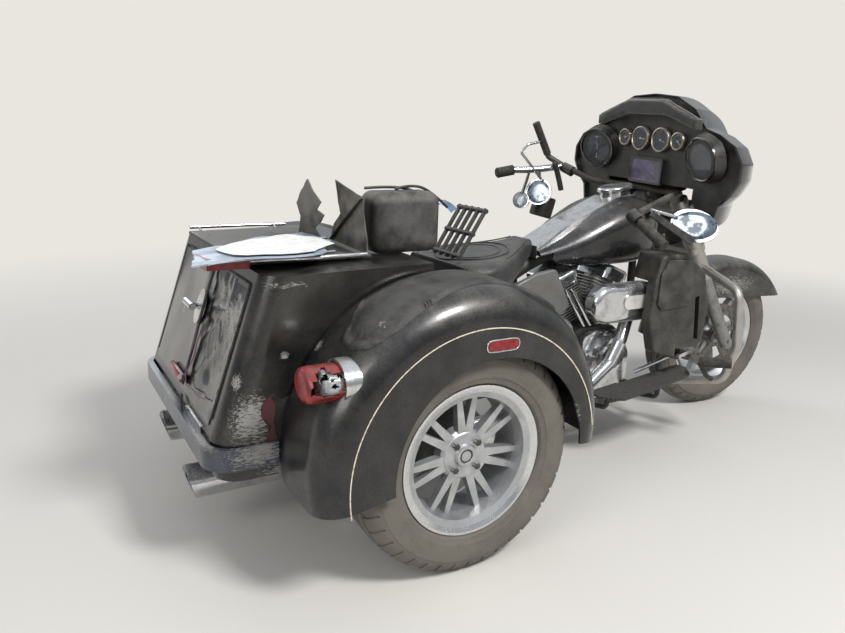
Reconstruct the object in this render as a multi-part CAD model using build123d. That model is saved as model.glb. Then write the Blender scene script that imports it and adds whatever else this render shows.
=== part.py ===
from build123d import *
import math
import os

# A three-wheeled V-twin touring motorcycle, damaged: windshield, luggage lid and rear seat pad are gone,
# the handlebar is bent down on the right and up on the left.
# Frame: millimetres, +Z up, the machine faces -Y and its right side is -X. The origin is on the ground,
# under the middle of the machine.

# Driving sizes
WHEELBASE = 1670
REAR_AXLE_Y = 700
FRONT_AXLE_Y = REAR_AXLE_Y - WHEELBASE
REAR_TYRE_R = 324
REAR_TYRE_W = 205
REAR_RIM_R = 208
REAR_WHEEL_X = 565.5
FRONT_TYRE_R = 320
FRONT_TYRE_W = 130
FRONT_RIM_R = 220
REAR_RIM_HALF = 89
FRONT_RIM_HALF = 46
FENDER_SIDE_X = 695
RAKE = 26.0
FORK_ANGLE = 32.0
TRAIL = 100
STEER_AT_REST = -4.9
SPOKE_PAIRS = 7
FRONT_SPOKES = 9
LUG_NUTS = 4
FIN_COUNT = 12
CLEAR = 1.0

# Steering axis and fork line, as points of the centre plane
STEER_GROUND_Y = FRONT_AXLE_Y - TRAIL
STEER_SLOPE = math.tan(math.radians(RAKE))
FORK_SLOPE = math.tan(math.radians(FORK_ANGLE))
STEER_DIR = Vector(0, math.sin(math.radians(RAKE)), math.cos(math.radians(RAKE)))
FORK_DIR = Vector(0, math.sin(math.radians(FORK_ANGLE)), math.cos(math.radians(FORK_ANGLE)))
STEER_AXIS = Axis((0, STEER_GROUND_Y, 0), tuple(STEER_DIR))


def steer_point(z, x=0):
    """The point of the steering axis at a height."""
    return Vector(x, STEER_GROUND_Y + STEER_SLOPE * z, z)


def fork_point(z, x=0):
    """The point of a fork leg's centre line at a height."""
    return Vector(x, FRONT_AXLE_Y + FORK_SLOPE * (z - FRONT_TYRE_R), z)


# Small helpers: every shape is made where it lies
def block(x0, x1, y0, y1, z0, z1, round_edges=0):
    """A box between two corners, its edges rounded when a radius is given."""
    body = Pos((x0 + x1) / 2, (y0 + y1) / 2, (z0 + z1) / 2) * Box(abs(x1 - x0), abs(y1 - y0), abs(z1 - z0))
    return fillet(body.edges(), round_edges) if round_edges else body


def rod(start, end, radius, end_radius=None):
    """A round bar, or a cone, from one point to another."""
    start, end = Vector(*start), Vector(*end)
    axis = end - start
    plane = Plane(origin=start, z_dir=axis)
    if end_radius is None or end_radius == radius:
        return extrude(plane * Circle(radius), axis.length)
    return loft([plane * Circle(radius), Plane(origin=end, z_dir=axis) * Circle(end_radius)])


def pipe(points, radius, bend):
    """A round bar bent along a route of straight runs and tangent arcs."""
    path = FilletPolyline(*points, radius=bend)
    return sweep(Plane(origin=path @ 0, z_dir=path % 0) * Circle(radius), path=path)


def tube(points, radius, bend, wall):
    """A pipe with a bore, open at both ends."""
    path = FilletPolyline(*points, radius=bend)
    start = Plane(origin=path @ 0, z_dir=path % 0)
    return sweep(start * (Circle(radius) - Circle(radius - wall)), path=path)


def side_slab(points, x0, x1, corner=0):
    """An outline of (y, z) points given its width from x0 to x1."""
    face = make_face(Polyline(*points, close=True))
    if corner:
        face = fillet(face.vertices(), corner)
    return extrude(Plane.YZ.offset(min(x0, x1)) * face, abs(x1 - x0))


def plan_slab(points, z0, z1, corner=0):
    """An outline of (x, y) points given its height from z0 to z1."""
    face = make_face(Polyline(*points, close=True))
    if corner:
        face = fillet(face.vertices(), corner)
    return extrude(Plane.XY.offset(z0) * face, z1 - z0)


def cross_plane(y):
    """A plane across the machine whose local axes are +X and +Z."""
    return Plane(origin=(0, y, 0), x_dir=(1, 0, 0), z_dir=(0, -1, 0))


def front_slab(points, y0, y1, corner=0):
    """An outline of (x, z) points given its length from y0 to y1."""
    face = make_face(Polyline(*points, close=True))
    if corner:
        face = fillet(face.vertices(), corner)
    return extrude(cross_plane(max(y0, y1)) * face, abs(y1 - y0))


def turned(profile, about=(0, 0, 0), arc=360):
    """A profile of (x, r) points revolved about a wheel's axle line."""
    face = make_face(Polyline(*[(x, r, 0) for x, r in profile], close=True))
    return Pos(*about) * revolve(face, Axis.X, arc)


def both_sides(body):
    """A piece together with its mirror image."""
    return body + mirror(body, Plane.YZ)


def across(body):
    return mirror(body, Plane.YZ)


# Rear wheels
REAR_TREAD = ((0.91, 28), (0.7, 6), (0.4, 0))
FRONT_TREAD = ((0.93, 46), (0.74, 20), (0.4, 4), (0.03, 0))


def tyre_ring(half, tread_r, bead_r, flange_r, rim_half, carcass, tread):
    """A hollow tyre: beads inside the rim's flanges, bulging walls, and a tread of (half share, drop) rows."""
    seat_x = rim_half - 11
    outside = [(-seat_x, bead_r), (-seat_x, flange_r + 1), (-rim_half - 2, flange_r + 4),
               (-half + 3, flange_r + 22), (-half, flange_r + 42)]
    outside += [(-half * share, tread_r - drop) for share, drop in tread]
    inside = [(-half + 0.5 * half, tread_r - carcass - 8), (-half + carcass, tread_r - 52),
              (-half + carcass, flange_r + 40), (-seat_x + 14, bead_r)]
    profile = outside + [(-x, r) for x, r in reversed(outside)] + [(-x, r) for x, r in reversed(inside)]
    return turned(profile + inside)


def rear_tyre(side):
    tyre = tyre_ring(REAR_TYRE_W / 2, REAR_TYRE_R, REAR_RIM_R - 10, REAR_RIM_R, REAR_RIM_HALF, 13, REAR_TREAD)
    return Pos(side * REAR_WHEEL_X, REAR_AXLE_Y, REAR_TYRE_R) * tyre


def rear_rim(side):
    """A cast wheel: barrel with two lips, seven pairs of spokes, hub, four nuts and a cap."""
    half = REAR_RIM_HALF
    seat = REAR_RIM_R - 10.5
    barrel = [(-half, REAR_RIM_R), (-half + 5, REAR_RIM_R), (-half + 10, seat), (-half + 34, seat - 3),
              (-half + 44, seat - 24), (half - 44, seat - 24), (half - 34, seat - 3), (half - 10, seat),
              (half - 5, REAR_RIM_R), (half, REAR_RIM_R), (half, REAR_RIM_R - 6), (half - 12, seat - 9),
              (half - 36, seat - 12), (half - 46, seat - 32), (-half + 50, seat - 32), (-half + 14, seat - 26),
              (-half, REAR_RIM_R - 7)]
    wheel = turned(barrel)
    face_x = -half + 42
    hub = turned([(face_x - 6, 0), (face_x - 6, 30), (face_x, 34), (face_x, 62), (face_x + 10, 72),
                  (face_x + 40, 72), (face_x + 40, 0)])
    spoke = loft([Plane(origin=(face_x + 16, 0, 64), z_dir=(0, 0, 1)) * Rectangle(26, 24),
                  Plane(origin=(face_x + 12, 0, seat - 26), z_dir=(0, 0, 1)) * Rectangle(20, 15)])
    step = 360 / SPOKE_PAIRS
    for number in range(SPOKE_PAIRS):
        for lean in (-8.5, 8.5):
            hub += Rot(number * step + lean, 0, 0) * spoke
    for number in range(LUG_NUTS):
        turn = math.radians(number * 360 / LUG_NUTS + 45)
        y, z = 48 * math.cos(turn), 48 * math.sin(turn)
        hub += rod((face_x - 12, y, z), (face_x + 2, y, z), 9)
    wheel = wheel + hub
    if side > 0:
        wheel = across(wheel)
    return Pos(side * REAR_WHEEL_X, REAR_AXLE_Y, REAR_TYRE_R) * wheel


# Front wheel, made straight ahead and turned with the fork at the end
def front_tyre():
    tyre = tyre_ring(FRONT_TYRE_W / 2, FRONT_TYRE_R, FRONT_RIM_R - 9, FRONT_RIM_R, FRONT_RIM_HALF, 12,
                     FRONT_TREAD)
    return Pos(0, FRONT_AXLE_Y, FRONT_TYRE_R) * tyre


def front_rim():
    """Cast wheel with spokes, and its two drilled brake discs."""
    half = FRONT_RIM_HALF
    seat = FRONT_RIM_R - 9.5
    barrel = [(-half, FRONT_RIM_R), (-half + 5, FRONT_RIM_R), (-half + 9, seat), (-half + 24, seat - 2),
              (-half + 30, seat - 18), (half - 30, seat - 18), (half - 24, seat - 2), (half - 9, seat),
              (half - 5, FRONT_RIM_R), (half, FRONT_RIM_R), (half, FRONT_RIM_R - 7), (half - 24, seat - 26),
              (-half + 24, seat - 26), (-half, FRONT_RIM_R - 7)]
    wheel = turned(barrel)
    hub = turned([(-62, 10.5), (-62, 26), (-44, 26), (-40, 34), (40, 34), (44, 26), (62, 26), (62, 10.5)])
    spoke = loft([Plane(origin=(0, 0, 30), z_dir=(0, 0, 1)) * Rectangle(44, 26),
                  Plane(origin=(0, 0, seat - 20), z_dir=(0, 0, 1)) * Rectangle(26, 20)])
    for number in range(FRONT_SPOKES):
        hub += Rot(number * 360 / FRONT_SPOKES, 0, 0) * spoke
    wheel += hub
    return Pos(0, FRONT_AXLE_Y, FRONT_TYRE_R) * wheel


def brake_disc(x0, x1, bolt_side):
    """A drilled disc with a five-armed carrier on the hub."""
    disc = turned([(x0, 104), (x0, 148), (x1, 148), (x1, 104)])
    for number in range(18):
        for radius, shift in ((116, 0), (134, 10)):
            turn = math.radians(number * 20 + shift)
            y, z = radius * math.cos(turn), radius * math.sin(turn)
            disc -= rod((x0 - 2, y, z), (x1 + 2, y, z), 5)
    carrier = turned([(x0, 27), (x0, 48), (x1, 48), (x1, 27)])
    for number in range(5):
        carrier += Rot(number * 72, 0, 0) * block(x0, x1, -11, 11, 44, 108)
    return disc + carrier


def front_discs():
    right = brake_disc(-58, -52, -1)
    return Pos(0, FRONT_AXLE_Y, FRONT_TYRE_R) * both_sides(right)


# Frame and running gear
HEAD_LOW_Z, HEAD_TOP_Z = 745, 885
HEAD_R = 32
STEM_R = 14
BACKBONE_R = 26
RAIL_R = 16
AXLE_TUBE_R = 38
BACKBONE_Z = 737


def cradle_leg(side):
    """One side of the cradle: from the backbone down in front of the engine, under it and up to the axle."""
    return pipe([(side * 14, -560, 776), (side * 84, -566, 700), (side * 96, -580, 540), (side * 130, -560, 160),
                 (side * 135, 300, 150), (side * 150, 470, 330), (side * 150, 470, 440)], RAIL_R, 45)


def frame_tubes():
    """Head tube, backbone, twin cradle tubes and the cross tubes that carry engine and axle."""
    frame = rod(steer_point(HEAD_LOW_Z), steer_point(HEAD_TOP_Z), HEAD_R)
    frame += pipe([(0, -672, 815), (0, -480, 762), (0, -60, BACKBONE_Z), (0, 60, 690), (0, 400, 520)],
                  BACKBONE_R, 90)
    for side in (-1, 1):
        frame += cradle_leg(side)
        frame += rod((side * 150, 470, 430), (side * 8, 372, 532), RAIL_R - 1)
        frame += rod((side * 150, 462, 334), (side * 215, REAR_AXLE_Y, REAR_TYRE_R), 22)
    for y, z in ((-500, 157), (300, 151)):
        frame += rod((-134, y, z), (134, y, z), 12)
    frame -= rod((-300, REAR_AXLE_Y, REAR_TYRE_R), (300, REAR_AXLE_Y, REAR_TYRE_R), AXLE_TUBE_R)
    return frame - rod(steer_point(HEAD_LOW_Z - 5), steer_point(HEAD_TOP_Z + 5), STEM_R + CLEAR)


def rear_axle():
    """Axle tubes with the belt sprocket housing at the middle and a hub flange at each end."""
    reach = REAR_WHEEL_X - 62
    axle = rod((-reach + 40, REAR_AXLE_Y, REAR_TYRE_R), (reach - 40, REAR_AXLE_Y, REAR_TYRE_R), AXLE_TUBE_R)
    axle += rod((-75, REAR_AXLE_Y, REAR_TYRE_R), (75, REAR_AXLE_Y, REAR_TYRE_R), 92)
    for side in (-1, 1):
        axle += rod((side * 420, REAR_AXLE_Y, REAR_TYRE_R), (side * 432, REAR_AXLE_Y, REAR_TYRE_R), 105)
    return axle


def rear_hub(side):
    """Drive flange and drilled disc that the wheel is bolted to."""
    return (rod((side * 434, REAR_AXLE_Y, REAR_TYRE_R), (side * 444, REAR_AXLE_Y, REAR_TYRE_R), 140)
            + rod((side * 444, REAR_AXLE_Y, REAR_TYRE_R), (side * 482, REAR_AXLE_Y, REAR_TYRE_R), 60))


# Engine
CRANK_Y, CRANK_Z = -190, 344
CYLINDER_LEAN = 22.5
BARREL_R = 58
FIN_W, FIN_L = 148, 150
FIN_PITCH = 11.5
FIN_T = 3.2
FIN_START = 152


def cylinder_frame(lean):
    """A plane at the crank whose Z runs up one cylinder."""
    return Plane(origin=(0, CRANK_Y, CRANK_Z), x_dir=(1, 0, 0),
                 z_dir=(0, math.sin(math.radians(lean)), math.cos(math.radians(lean))))


def crankcase():
    """The heavy mass of the engine: cases, with a round right side under the cam cover."""
    case = side_slab([(-330, 200), (-40, 200), (-20, 300), (-40, 410), (-105, 459), (-275, 459), (-335, 410),
                      (-350, 300)], -125, 125, 30)
    return case


def cylinder(lean):
    """A finned barrel and head: thin square fins with round corners on a core."""
    place = cylinder_frame(lean)
    top = FIN_START + FIN_PITCH * FIN_COUNT
    core = extrude(Plane.XY.offset(FIN_START - 8) * Circle(BARREL_R), top - FIN_START + 12)
    fin_face = RectangleRounded(FIN_W, FIN_L, 34)
    for number in range(FIN_COUNT):
        core += extrude(Plane.XY.offset(FIN_START + number * FIN_PITCH) * fin_face, FIN_T)
    return place * core


def rocker_box(lean):
    place = cylinder_frame(lean)
    low = FIN_START + FIN_PITCH * FIN_COUNT + 5
    base = extrude(Plane.XY.offset(low) * RectangleRounded(176, 118, 30), 20)
    cover = extrude(Plane.XY.offset(low + 20) * RectangleRounded(188, 128, 34), 34)
    cover = fillet(cover.faces().sort_by(Axis.Z)[-1].edges(), 14)
    return place * (base + cover)


def pushrod_tubes():
    """Two chrome tubes on the right of each cylinder, from the cam chest to the rocker box."""
    tubes = Part()
    for lean, foot in ((-CYLINDER_LEAN, -222), (CYLINDER_LEAN, -158)):
        head = cylinder_frame(lean).from_local_coords(Vector(-86, 0, FIN_START + FIN_PITCH * FIN_COUNT + 2))
        for shift in (-15, 15):
            tubes += rod((-112, foot + shift, 464), (-87, head.Y + shift, head.Z - 8), 7.5)
    return tubes


def cam_cover():
    """Round chrome cover on the right of the cases, on the wider cam chest."""
    chest = side_slab([(-345, 235), (-150, 215), (-105, 290), (-112, 430), (-170, 452), (-300, 440), (-345, 350)],
                      -126, -152, 28)
    disc = rod((-152, -236, 352), (-172, -236, 352), 76, 70)
    ring = rod((-172, -236, 352), (-182, -236, 352), 50, 46)
    return chest + disc + ring


def primary_cover():
    """Long chrome cover on the left of the engine, round at both ends."""
    body = side_slab([(-320, 250), (170, 250), (170, 400), (-320, 400)], 126, 205, 70)
    return fillet(body.faces().sort_by(Axis.X)[-1].edges(), 18)


def transmission():
    """Gearbox behind the engine, with the rear master cylinder cover below it."""
    return block(-110, 110, -15, 190, 210, 440, 20)


def air_cleaner():
    """Oblong chrome cover in front of its black backing plate."""
    plate = Pos(-205, -205, 578) * Rot(0, -90, 0) * extrude(SlotOverall(300, 128).rotate(Axis.Z, 90), 14)
    cover = Pos(-219, -205, 578) * Rot(0, -90, 0) * extrude(SlotOverall(322, 140).rotate(Axis.Z, 90), 52)
    cover = fillet(cover.faces().sort_by(Axis.X)[0].edges(), 24)
    intake = rod((-206, -190, 590), (-86, -190, 590), 26)
    return plate + cover + intake


# Exhaust
def exhaust_headers():
    """One shielded pipe down the right side and its crossover to the left muffler."""
    front = pipe([(-96, -330, 548), (-176, -304, 524), (-211, -236, 420), (-211, -196, 345), (-211, -110, 280),
                  (-211, 90, 206), (-180, 400, 190), (-165, 560, 190), (-165, 700, 190)], 24, 32)
    rear = pipe([(-96, -10, 505), (-180, -4, 492), (-211, 24, 410), (-211, 40, 222)], 22, 34)
    cross = pipe([(-170, 480, 190), (0, 520, 190), (165, 560, 190), (165, 700, 190)], 24, 60)
    return front + rear + cross


def muffler(side, tip_z):
    """A long can with a slash-cut tip."""
    start = Vector(side * 165, 703, 190)
    end = Vector(side * 165, 1330, tip_z)
    can = rod(start, end, 49)
    can -= rod(start + (end - start) * 0.75, end + (end - start) * 0.1, 45)
    slash = Pos(side * 165, 1345, tip_z - 60) * Rot(-18, 0, 0) * Box(160, 80, 300)
    return can - slash


# Tank and seat
TANK_FRONT_Y, TANK_REAR_Y = -500, 60
TANK_SECTIONS = (
    # y, half width, low z, top z, corner radius
    (-500, 86, 742, 872, 40),
    (-430, 142, 704, 922, 62),
    (-300, 166, 690, 920, 74),
    (-100, 138, 690, 832, 62),
    (60, 84, 700, 752, 24),
)
TUNNEL_HALF = 100


def tank_section(y, half, low, top, corner):
    face = Rectangle(2 * half, top - low)
    face = fillet(face.vertices(), corner)
    return cross_plane(y) * Pos(0, (low + top) / 2, 0) * face


def fuel_tank():
    """A teardrop lofted through five sections, with a tunnel for the backbone."""
    tank = loft([tank_section(*row) for row in TANK_SECTIONS])
    tunnel = side_slab([(-520, 600), (-520, 822), (-440, 796), (-60, 770), (90, 724), (90, 600)],
                       -TUNNEL_HALF, TUNNEL_HALF)
    return tank - tunnel


CONSOLE_LINE = ((-440, 912), (-400, 930), (-300, 922), (-100, 838), (62, 757))
DOOR_PLACE = Pos(0, -346, 958) * Rot(-9, 0, 0)


def tank_console():
    """The long chrome console along the top of the tank, with the neck that the fuel door closes."""
    low = [(y, z - 34) for y, z in CONSOLE_LINE]
    high = [(y, z + 10) for y, z in CONSOLE_LINE]
    body = side_slab(low + list(reversed(high)), -60, 60)
    body += DOOR_PLACE * Pos(0, 0, -60) * extrude(Ellipse(47, 64), 58)
    return body - DOOR_PLACE * extrude(Ellipse(57, 75), 30)


def fuel_door():
    """Raised oval chrome lid, hinged at its front edge."""
    lid = extrude(Ellipse(56, 74), 15)
    return DOOR_PLACE * fillet(lid.faces().sort_by(Axis.Z)[-1].edges(), 8)


def rider_seat():
    """One-piece saddle: narrow nose against the tank, wide bucket, flat underside on the frame."""
    sections = ((78, 66, 735, 802, 26), (170, 120, 672, 772, 30), (300, 218, 655, 752, 34), (440, 205, 655, 735, 30))
    return loft([tank_section(*row) for row in sections])


def side_covers():
    """The two silver-grey panels below the seat."""
    outline = [(-30, 560), (45, 700), (130, 690), (260, 640), (240, 520), (60, 500)]
    right = side_slab(outline, -160, -142, 20)
    right = fillet(right.faces().sort_by(Axis.X)[0].edges(), 7)
    return both_sides(right)


def battery_box():
    """Plain black boxes under the seat, either side of the backbone, that carry the side covers."""
    return both_sides(block(-140, -36, 60, 296, 505, 640, 12))


# Lower fairings with a glove box each. They are drawn square and turned towards the rider
LOWER_TURN = 8
LOWER_WALL = 4
LOWER_FACE_X = -350
LOWER_CENTRE = (-350, -415)
GLOVE_DEPTH = 40


def lower_turned(body):
    x, y = LOWER_CENTRE
    return Pos(x, y, 0) * Rot(0, 0, -LOWER_TURN) * Pos(-x, -y, 0) * body


LOWER_OUTLINE = [(-513, 560), (-482, 690), (-395, 760), (-285, 760), (-262, 660), (-250, 520), (-285, 400),
                 (-415, 362), (-495, 385)]


def glove_outline(gap):
    return [(-417 + gap, 572 + gap), (-424 + gap, 700 - gap), (-392, 742 - gap), (-306, 742 - gap),
            (-276 - gap, 690), (-272 - gap, 586), (-290, 560 + gap)]


def lower_fairing():
    """Right lower fairing: a hollow box whose outer side is the mouth of the glove box."""
    shell = side_slab(LOWER_OUTLINE, LOWER_FACE_X, LOWER_FACE_X + 130, 22)
    shell = fillet(shell.faces().sort_by(Axis.X)[0].edges(), 12)
    pocket = side_slab(glove_outline(0), LOWER_FACE_X - 10, LOWER_FACE_X + GLOVE_DEPTH, 12)
    vent = side_slab([(-478, 440), (-462, 606), (-444, 600), (-458, 440)], LOWER_FACE_X - 10, LOWER_FACE_X + 140)
    body = lower_turned(shell - pocket - vent)
    elbow_room = block(-283, -160, -378, -150, 340, 660)
    toe_room = block(-460, -250, -600, -380, 300, 412)
    return body - elbow_room - toe_room - block(-160, -60, -700, -100, 300, 900)


def glove_lid():
    lid = side_slab(glove_outline(CLEAR), LOWER_FACE_X - 8, LOWER_FACE_X - 1, 10)
    return lower_turned(fillet(lid.faces().sort_by(Axis.X)[0].edges(), 3))


def engine_guard():
    """Chrome bar round each lower fairing."""
    loop = pipe([(-92, -575, 655), (-190, -668, 668), (-388, -640, 610), (-396, -655, 400), (-370, -640, 262),
                 (-128, -562, 196)], 16, 50)
    return both_sides(loop - cradle_leg(-1))


FOOTBOARD_Z = 262
BOARD_TILT = 6
BOARD_OUTLINE = [(-245, -520), (-290, -525), (-345, -480), (-362, -300), (-364, -130), (-300, -75), (-245, -80)]


def footboards():
    """Steel boards with a rim, on brackets to the cradle tubes."""
    board = Pos(0, -120, FOOTBOARD_Z) * Rot(-BOARD_TILT, 0, 0) * Pos(0, 120, 0) * plan_slab(BOARD_OUTLINE, -8, 0, 16)
    for y, rise in ((-420, 31), (-160, 4)):
        board += pipe([(-266, y, FOOTBOARD_Z + rise - 6), (-248, y, FOOTBOARD_Z - 76), (-140, y, FOOTBOARD_Z - 98)], 9, 24)
    board -= cradle_leg(-1)
    return both_sides(board)


def footboard_pads():
    inner = [(-262, -508), (-298, -512), (-354, -464), (-360, -240), (-352, -66), (-298, -26), (-258, -30)]
    return both_sides(plan_slab(inner, FOOTBOARD_Z + 0.2, FOOTBOARD_Z + 12, 10))


def highway_pegs():
    """Pegs on a bent arm from the foot of the engine guard."""
    peg = rod((-375, -482, 356), (-465, -547, 368), 19)
    arm = pipe([(-330, -628, 252), (-352, -560, 286), (-377, -486, 350)], 9, 20)
    return both_sides(arm + peg - engine_guard())


def foot_controls():
    """Brake pedal on the right, heel-toe shift lever on the left."""
    brake = rod((-236, -300, 300), (-290, -445, 368), 8)
    brake += Pos(-296, -462, 376) * Rot(-8, 0, 8) * Box(58, 112, 14)
    shift = rod((235, -560, 330), (235, -40, 320), 8)
    for y in (-560, -40):
        shift += rod((225, y, 330 if y < -100 else 320), (285, y, 336), 13)
    return brake + shift


# Rear body
TRUNK_HALF = 425
TRUNK_WALL = 9
TRUNK_LINE = ((820, 285), (1298, 285), (1306, 388), (1172, 800), (704, 808), (704, 610), (820, 560))
DOOR_HALF = 335
DOOR_LOW_Z, DOOR_TOP_Z = 412, 764
REAR_LEAN = math.degrees(math.atan2(1306 - 1172, 800 - 388))


def trunk_solid(inset):
    middle_y, middle_z = 1000, 600
    line = [(y + (inset if y < middle_y else -inset), z + (inset if z < middle_z else -inset)) for y, z in TRUNK_LINE]
    body = side_slab(line, -TRUNK_HALF + inset, TRUNK_HALF - inset)
    corners = body.edges().filter_by(lambda e: abs(e.center().X) > TRUNK_HALF - inset - 1 and
                                     e.center().Y > 1230 and 300 < e.center().Z < 780)
    body = fillet(corners, 62 - inset)
    return body


def rear_face_y(z):
    """Where the leaning rear face lies at a height."""
    return 1306 - (z - 388) * (1306 - 1172) / (800 - 388)


def door_slab(half, low, high, out, depth):
    """A plate in the plane of the leaning rear face, from out behind it to depth inside it."""
    points = [(rear_face_y(low) + out, low), (rear_face_y(high) + out, high),
              (rear_face_y(high) - depth, high), (rear_face_y(low) - depth, low)]
    return side_slab(points, -half, half)


def trunk_body():
    """The hollow trunk: real walls, with its mouth in the rear face."""
    return (trunk_solid(0) - trunk_solid(TRUNK_WALL)
            - door_slab(DOOR_HALF - 12, DOOR_LOW_Z + 12, DOOR_TOP_Z - 12, 20, 40)
            - door_slab(DOOR_HALF, DOOR_LOW_Z, DOOR_TOP_Z, 20, 5))


def tailgate():
    """The drop-down door, crumpled by the crash, in its rebate."""
    gap = 2.5
    return door_slab(DOOR_HALF - gap, DOOR_LOW_Z + gap, DOOR_TOP_Z - gap, 3, 4.5)


def tailgate_handle():
    """Chrome T-handle on its oval escutcheon."""
    z = 640
    y = rear_face_y(z) + 3.2
    lean = Rot(REAR_LEAN, 0, 0)
    plate = Rot(90, 0, 0) * extrude(Ellipse(36, 52), -8)
    stem = rod((0, 6, 0), (0, 36, 0), 9)
    bar = rod((-42, 38, 0), (42, 38, 0), 10)
    return Pos(0, y, z) * lean * (plate + stem + bar)


def rear_bumper():
    """A strip across the tail that wraps both corners."""
    outer = plan_slab([(-436, 1150), (-436, 1330), (436, 1330), (436, 1150)], 318, 378)
    corners = outer.edges().filter_by(Axis.Z).sort_by(Axis.Y)[-2:]
    outer = fillet(corners, 75)
    inner = plan_slab([(-427, 1120), (-427, 1311), (427, 1311), (427, 1120)], 300, 402)
    inner = fillet(inner.edges().filter_by(Axis.Z).sort_by(Axis.Y)[-2:], 64)
    return outer - inner - trunk_solid(-1)


# Rear fenders
FENDER_INNER_X = 432
FENDER_WALL = 5
FENDER_ROUND = 84
ARCH_R = 346
CROWN_R = 465
FRONT_FOOT = (-415, -10)
TAIL_FOOT = (441, -58)


def fender_side(inset, arch, drop):
    """Side outline about the axle: an arc to the front foot, one to the tail, and the wheel arch."""
    crown = (0, CROWN_R - inset)
    front = (FRONT_FOOT[0] + inset, FRONT_FOOT[1] - drop)
    foot = (TAIL_FOOT[0] - inset, TAIL_FOOT[1] - drop)
    arch_rear = (math.sqrt(arch ** 2 - (foot[1] - 14) ** 2), foot[1] - 14)
    arch_front = (-math.sqrt(arch ** 2 - front[1] ** 2), front[1])
    wire = [TangentArc(crown, front, tangent=(-1, 0)), TangentArc(crown, foot, tangent=(1, 0)),
            Line(foot, arch_rear), ThreePointArc(arch_rear, (0, arch), arch_front),
            Line(arch_front, front)]
    return Pos(REAR_AXLE_Y, REAR_TYRE_R) * make_face(wire)


def fender_solid(inset, arch, drop, x_in, x_out):
    """The outline given its width, with the crown's outer edge rounded to the flat side."""
    body = extrude(Plane.YZ.offset(x_out) * fender_side(inset, arch, drop), x_in - x_out)
    side_edges = body.faces().sort_by(Axis.X)[0].edges().filter_by(GeomType.CIRCLE)
    crown = [edge for edge in side_edges if abs(edge.radius - arch) > 5]
    return fillet(crown, FENDER_ROUND - inset)


def rear_fender():
    """Right fender: a thin arch with a deep rounded shoulder, a flat side and a wall beside the trunk."""
    shell = fender_solid(0, ARCH_R, 0, -FENDER_INNER_X, -FENDER_SIDE_X)
    hollow = fender_solid(FENDER_WALL, ARCH_R - 30, 60, -FENDER_INNER_X - FENDER_WALL, -FENDER_SIDE_X + FENDER_WALL)
    return shell - hollow - lamp_place(Pos(0, 0, -150) * extrude(Ellipse(65, 53), 220))


LAMP_X, LAMP_Y, LAMP_Z = -612, 1058, 586


def lamp_place(body):
    """Puts a piece made about local Z on the tail lamp's axis, local Z to the rear."""
    return Pos(LAMP_X, LAMP_Y, LAMP_Z) * Rot(-90, 0, 0) * body


PAD_T = 7


def fender_pad():
    """Flat textured pad on the crown of the right fender, between the trunk and the shoulder."""
    band = fender_side(-PAD_T, ARCH_R, 0) - fender_side(0, ARCH_R, 0)
    ring = extrude(Plane.YZ.offset(-600) * band, 150)
    window = [(-452, 1010), (-540, 1030), (-578, 900), (-592, 640), (-588, 480), (-560, 400), (-520, 395),
              (-456, 520)]
    lamp_room = lamp_place(Pos(0, 0, -150) * extrude(Ellipse(70, 58), 220))
    return (ring & plan_slab(window, 500, 900, 14)) - lamp_room


SIDE_MARKER_Z = 646


def side_marker():
    """Red marker on the flat side of the fender."""
    lamp = Pos(-FENDER_SIDE_X - 0.2, REAR_AXLE_Y - 42, SIDE_MARKER_Z) * Rot(0, -90, 0) \
        * extrude(SlotOverall(92, 27).rotate(Axis.Z, 90), 9)
    return fillet(lamp.faces().sort_by(Axis.X)[0].edges(), 4)


def tail_lamp_bezel():
    """Chrome ring that the tail lamp stands in, on the shoulder of the fender."""
    return lamp_place(Pos(0, 0, -60) * extrude(Ellipse(64, 52) - Ellipse(57, 45), 72))


def tail_lamp_lens():
    lens = fillet(extrude(Ellipse(56, 44), 145).faces().sort_by(Axis.Z)[-1].edges(), 12)
    return lamp_place(Pos(0, 0, -45) * lens)


# What is left of the luggage box on the trunk
LUGGAGE_BOLTS_Y = 1050
LUGGAGE_BOLT_X, LUGGAGE_BOLT_Y, LUGGAGE_HOLE_R = 200, 100, 3.3


def luggage_base():
    """The box's base plate, with the four holes that its lid section was bolted to."""
    plate = block(-300, 300, 830, 1190, 809, 818, 3)
    for x in (-LUGGAGE_BOLT_X, LUGGAGE_BOLT_X):
        for y in (LUGGAGE_BOLTS_Y - LUGGAGE_BOLT_Y, LUGGAGE_BOLTS_Y + LUGGAGE_BOLT_Y):
            plate -= rod((x, y, 805), (x, y, 822), LUGGAGE_HOLE_R)
    return plate


def luggage_rails():
    rail = pipe([(-330, 860, 826), (-336, 1000, 826), (-330, 1180, 826)], 6, 300)
    stay = rod((-303, 900, 815), (-330, 900, 826), 4) + rod((-303, 1150, 815), (-330, 1150, 826), 4)
    return both_sides(rail + stay)


TORN_PANEL = [(-332, 1290), (-60, 1268), (10, 1255), (165, 865), (20, 850), (-235, 900)]


def torn_panel():
    """The torn grey inner panel lying on the base, with a blank label on it."""
    return plan_slab(TORN_PANEL, 836, 844)


def corner_lens():
    """Red wrap-around lens at the right rear corner of the luggage box."""
    lens = plan_slab([(-325, 1180), (-325, 1286), (-240, 1292), (-240, 1272), (-300, 1262), (-306, 1180)], 806, 835)
    return lens


def box_shards():
    """Two broken pieces of the box standing up in front of the panel."""
    grey = side_slab([(860, 846), (905, 846), (893, 990), (880, 1010)], -112, -104)
    dark = side_slab([(824, 832), (884, 840), (890, 1004), (828, 985)], -215, -205)
    return grey + dark


def speaker_pod():
    """Rounded rear speaker pod that stood beside the passenger's backrest."""
    return block(-290, -170, 600, 818, 812, 985, 34)


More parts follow.
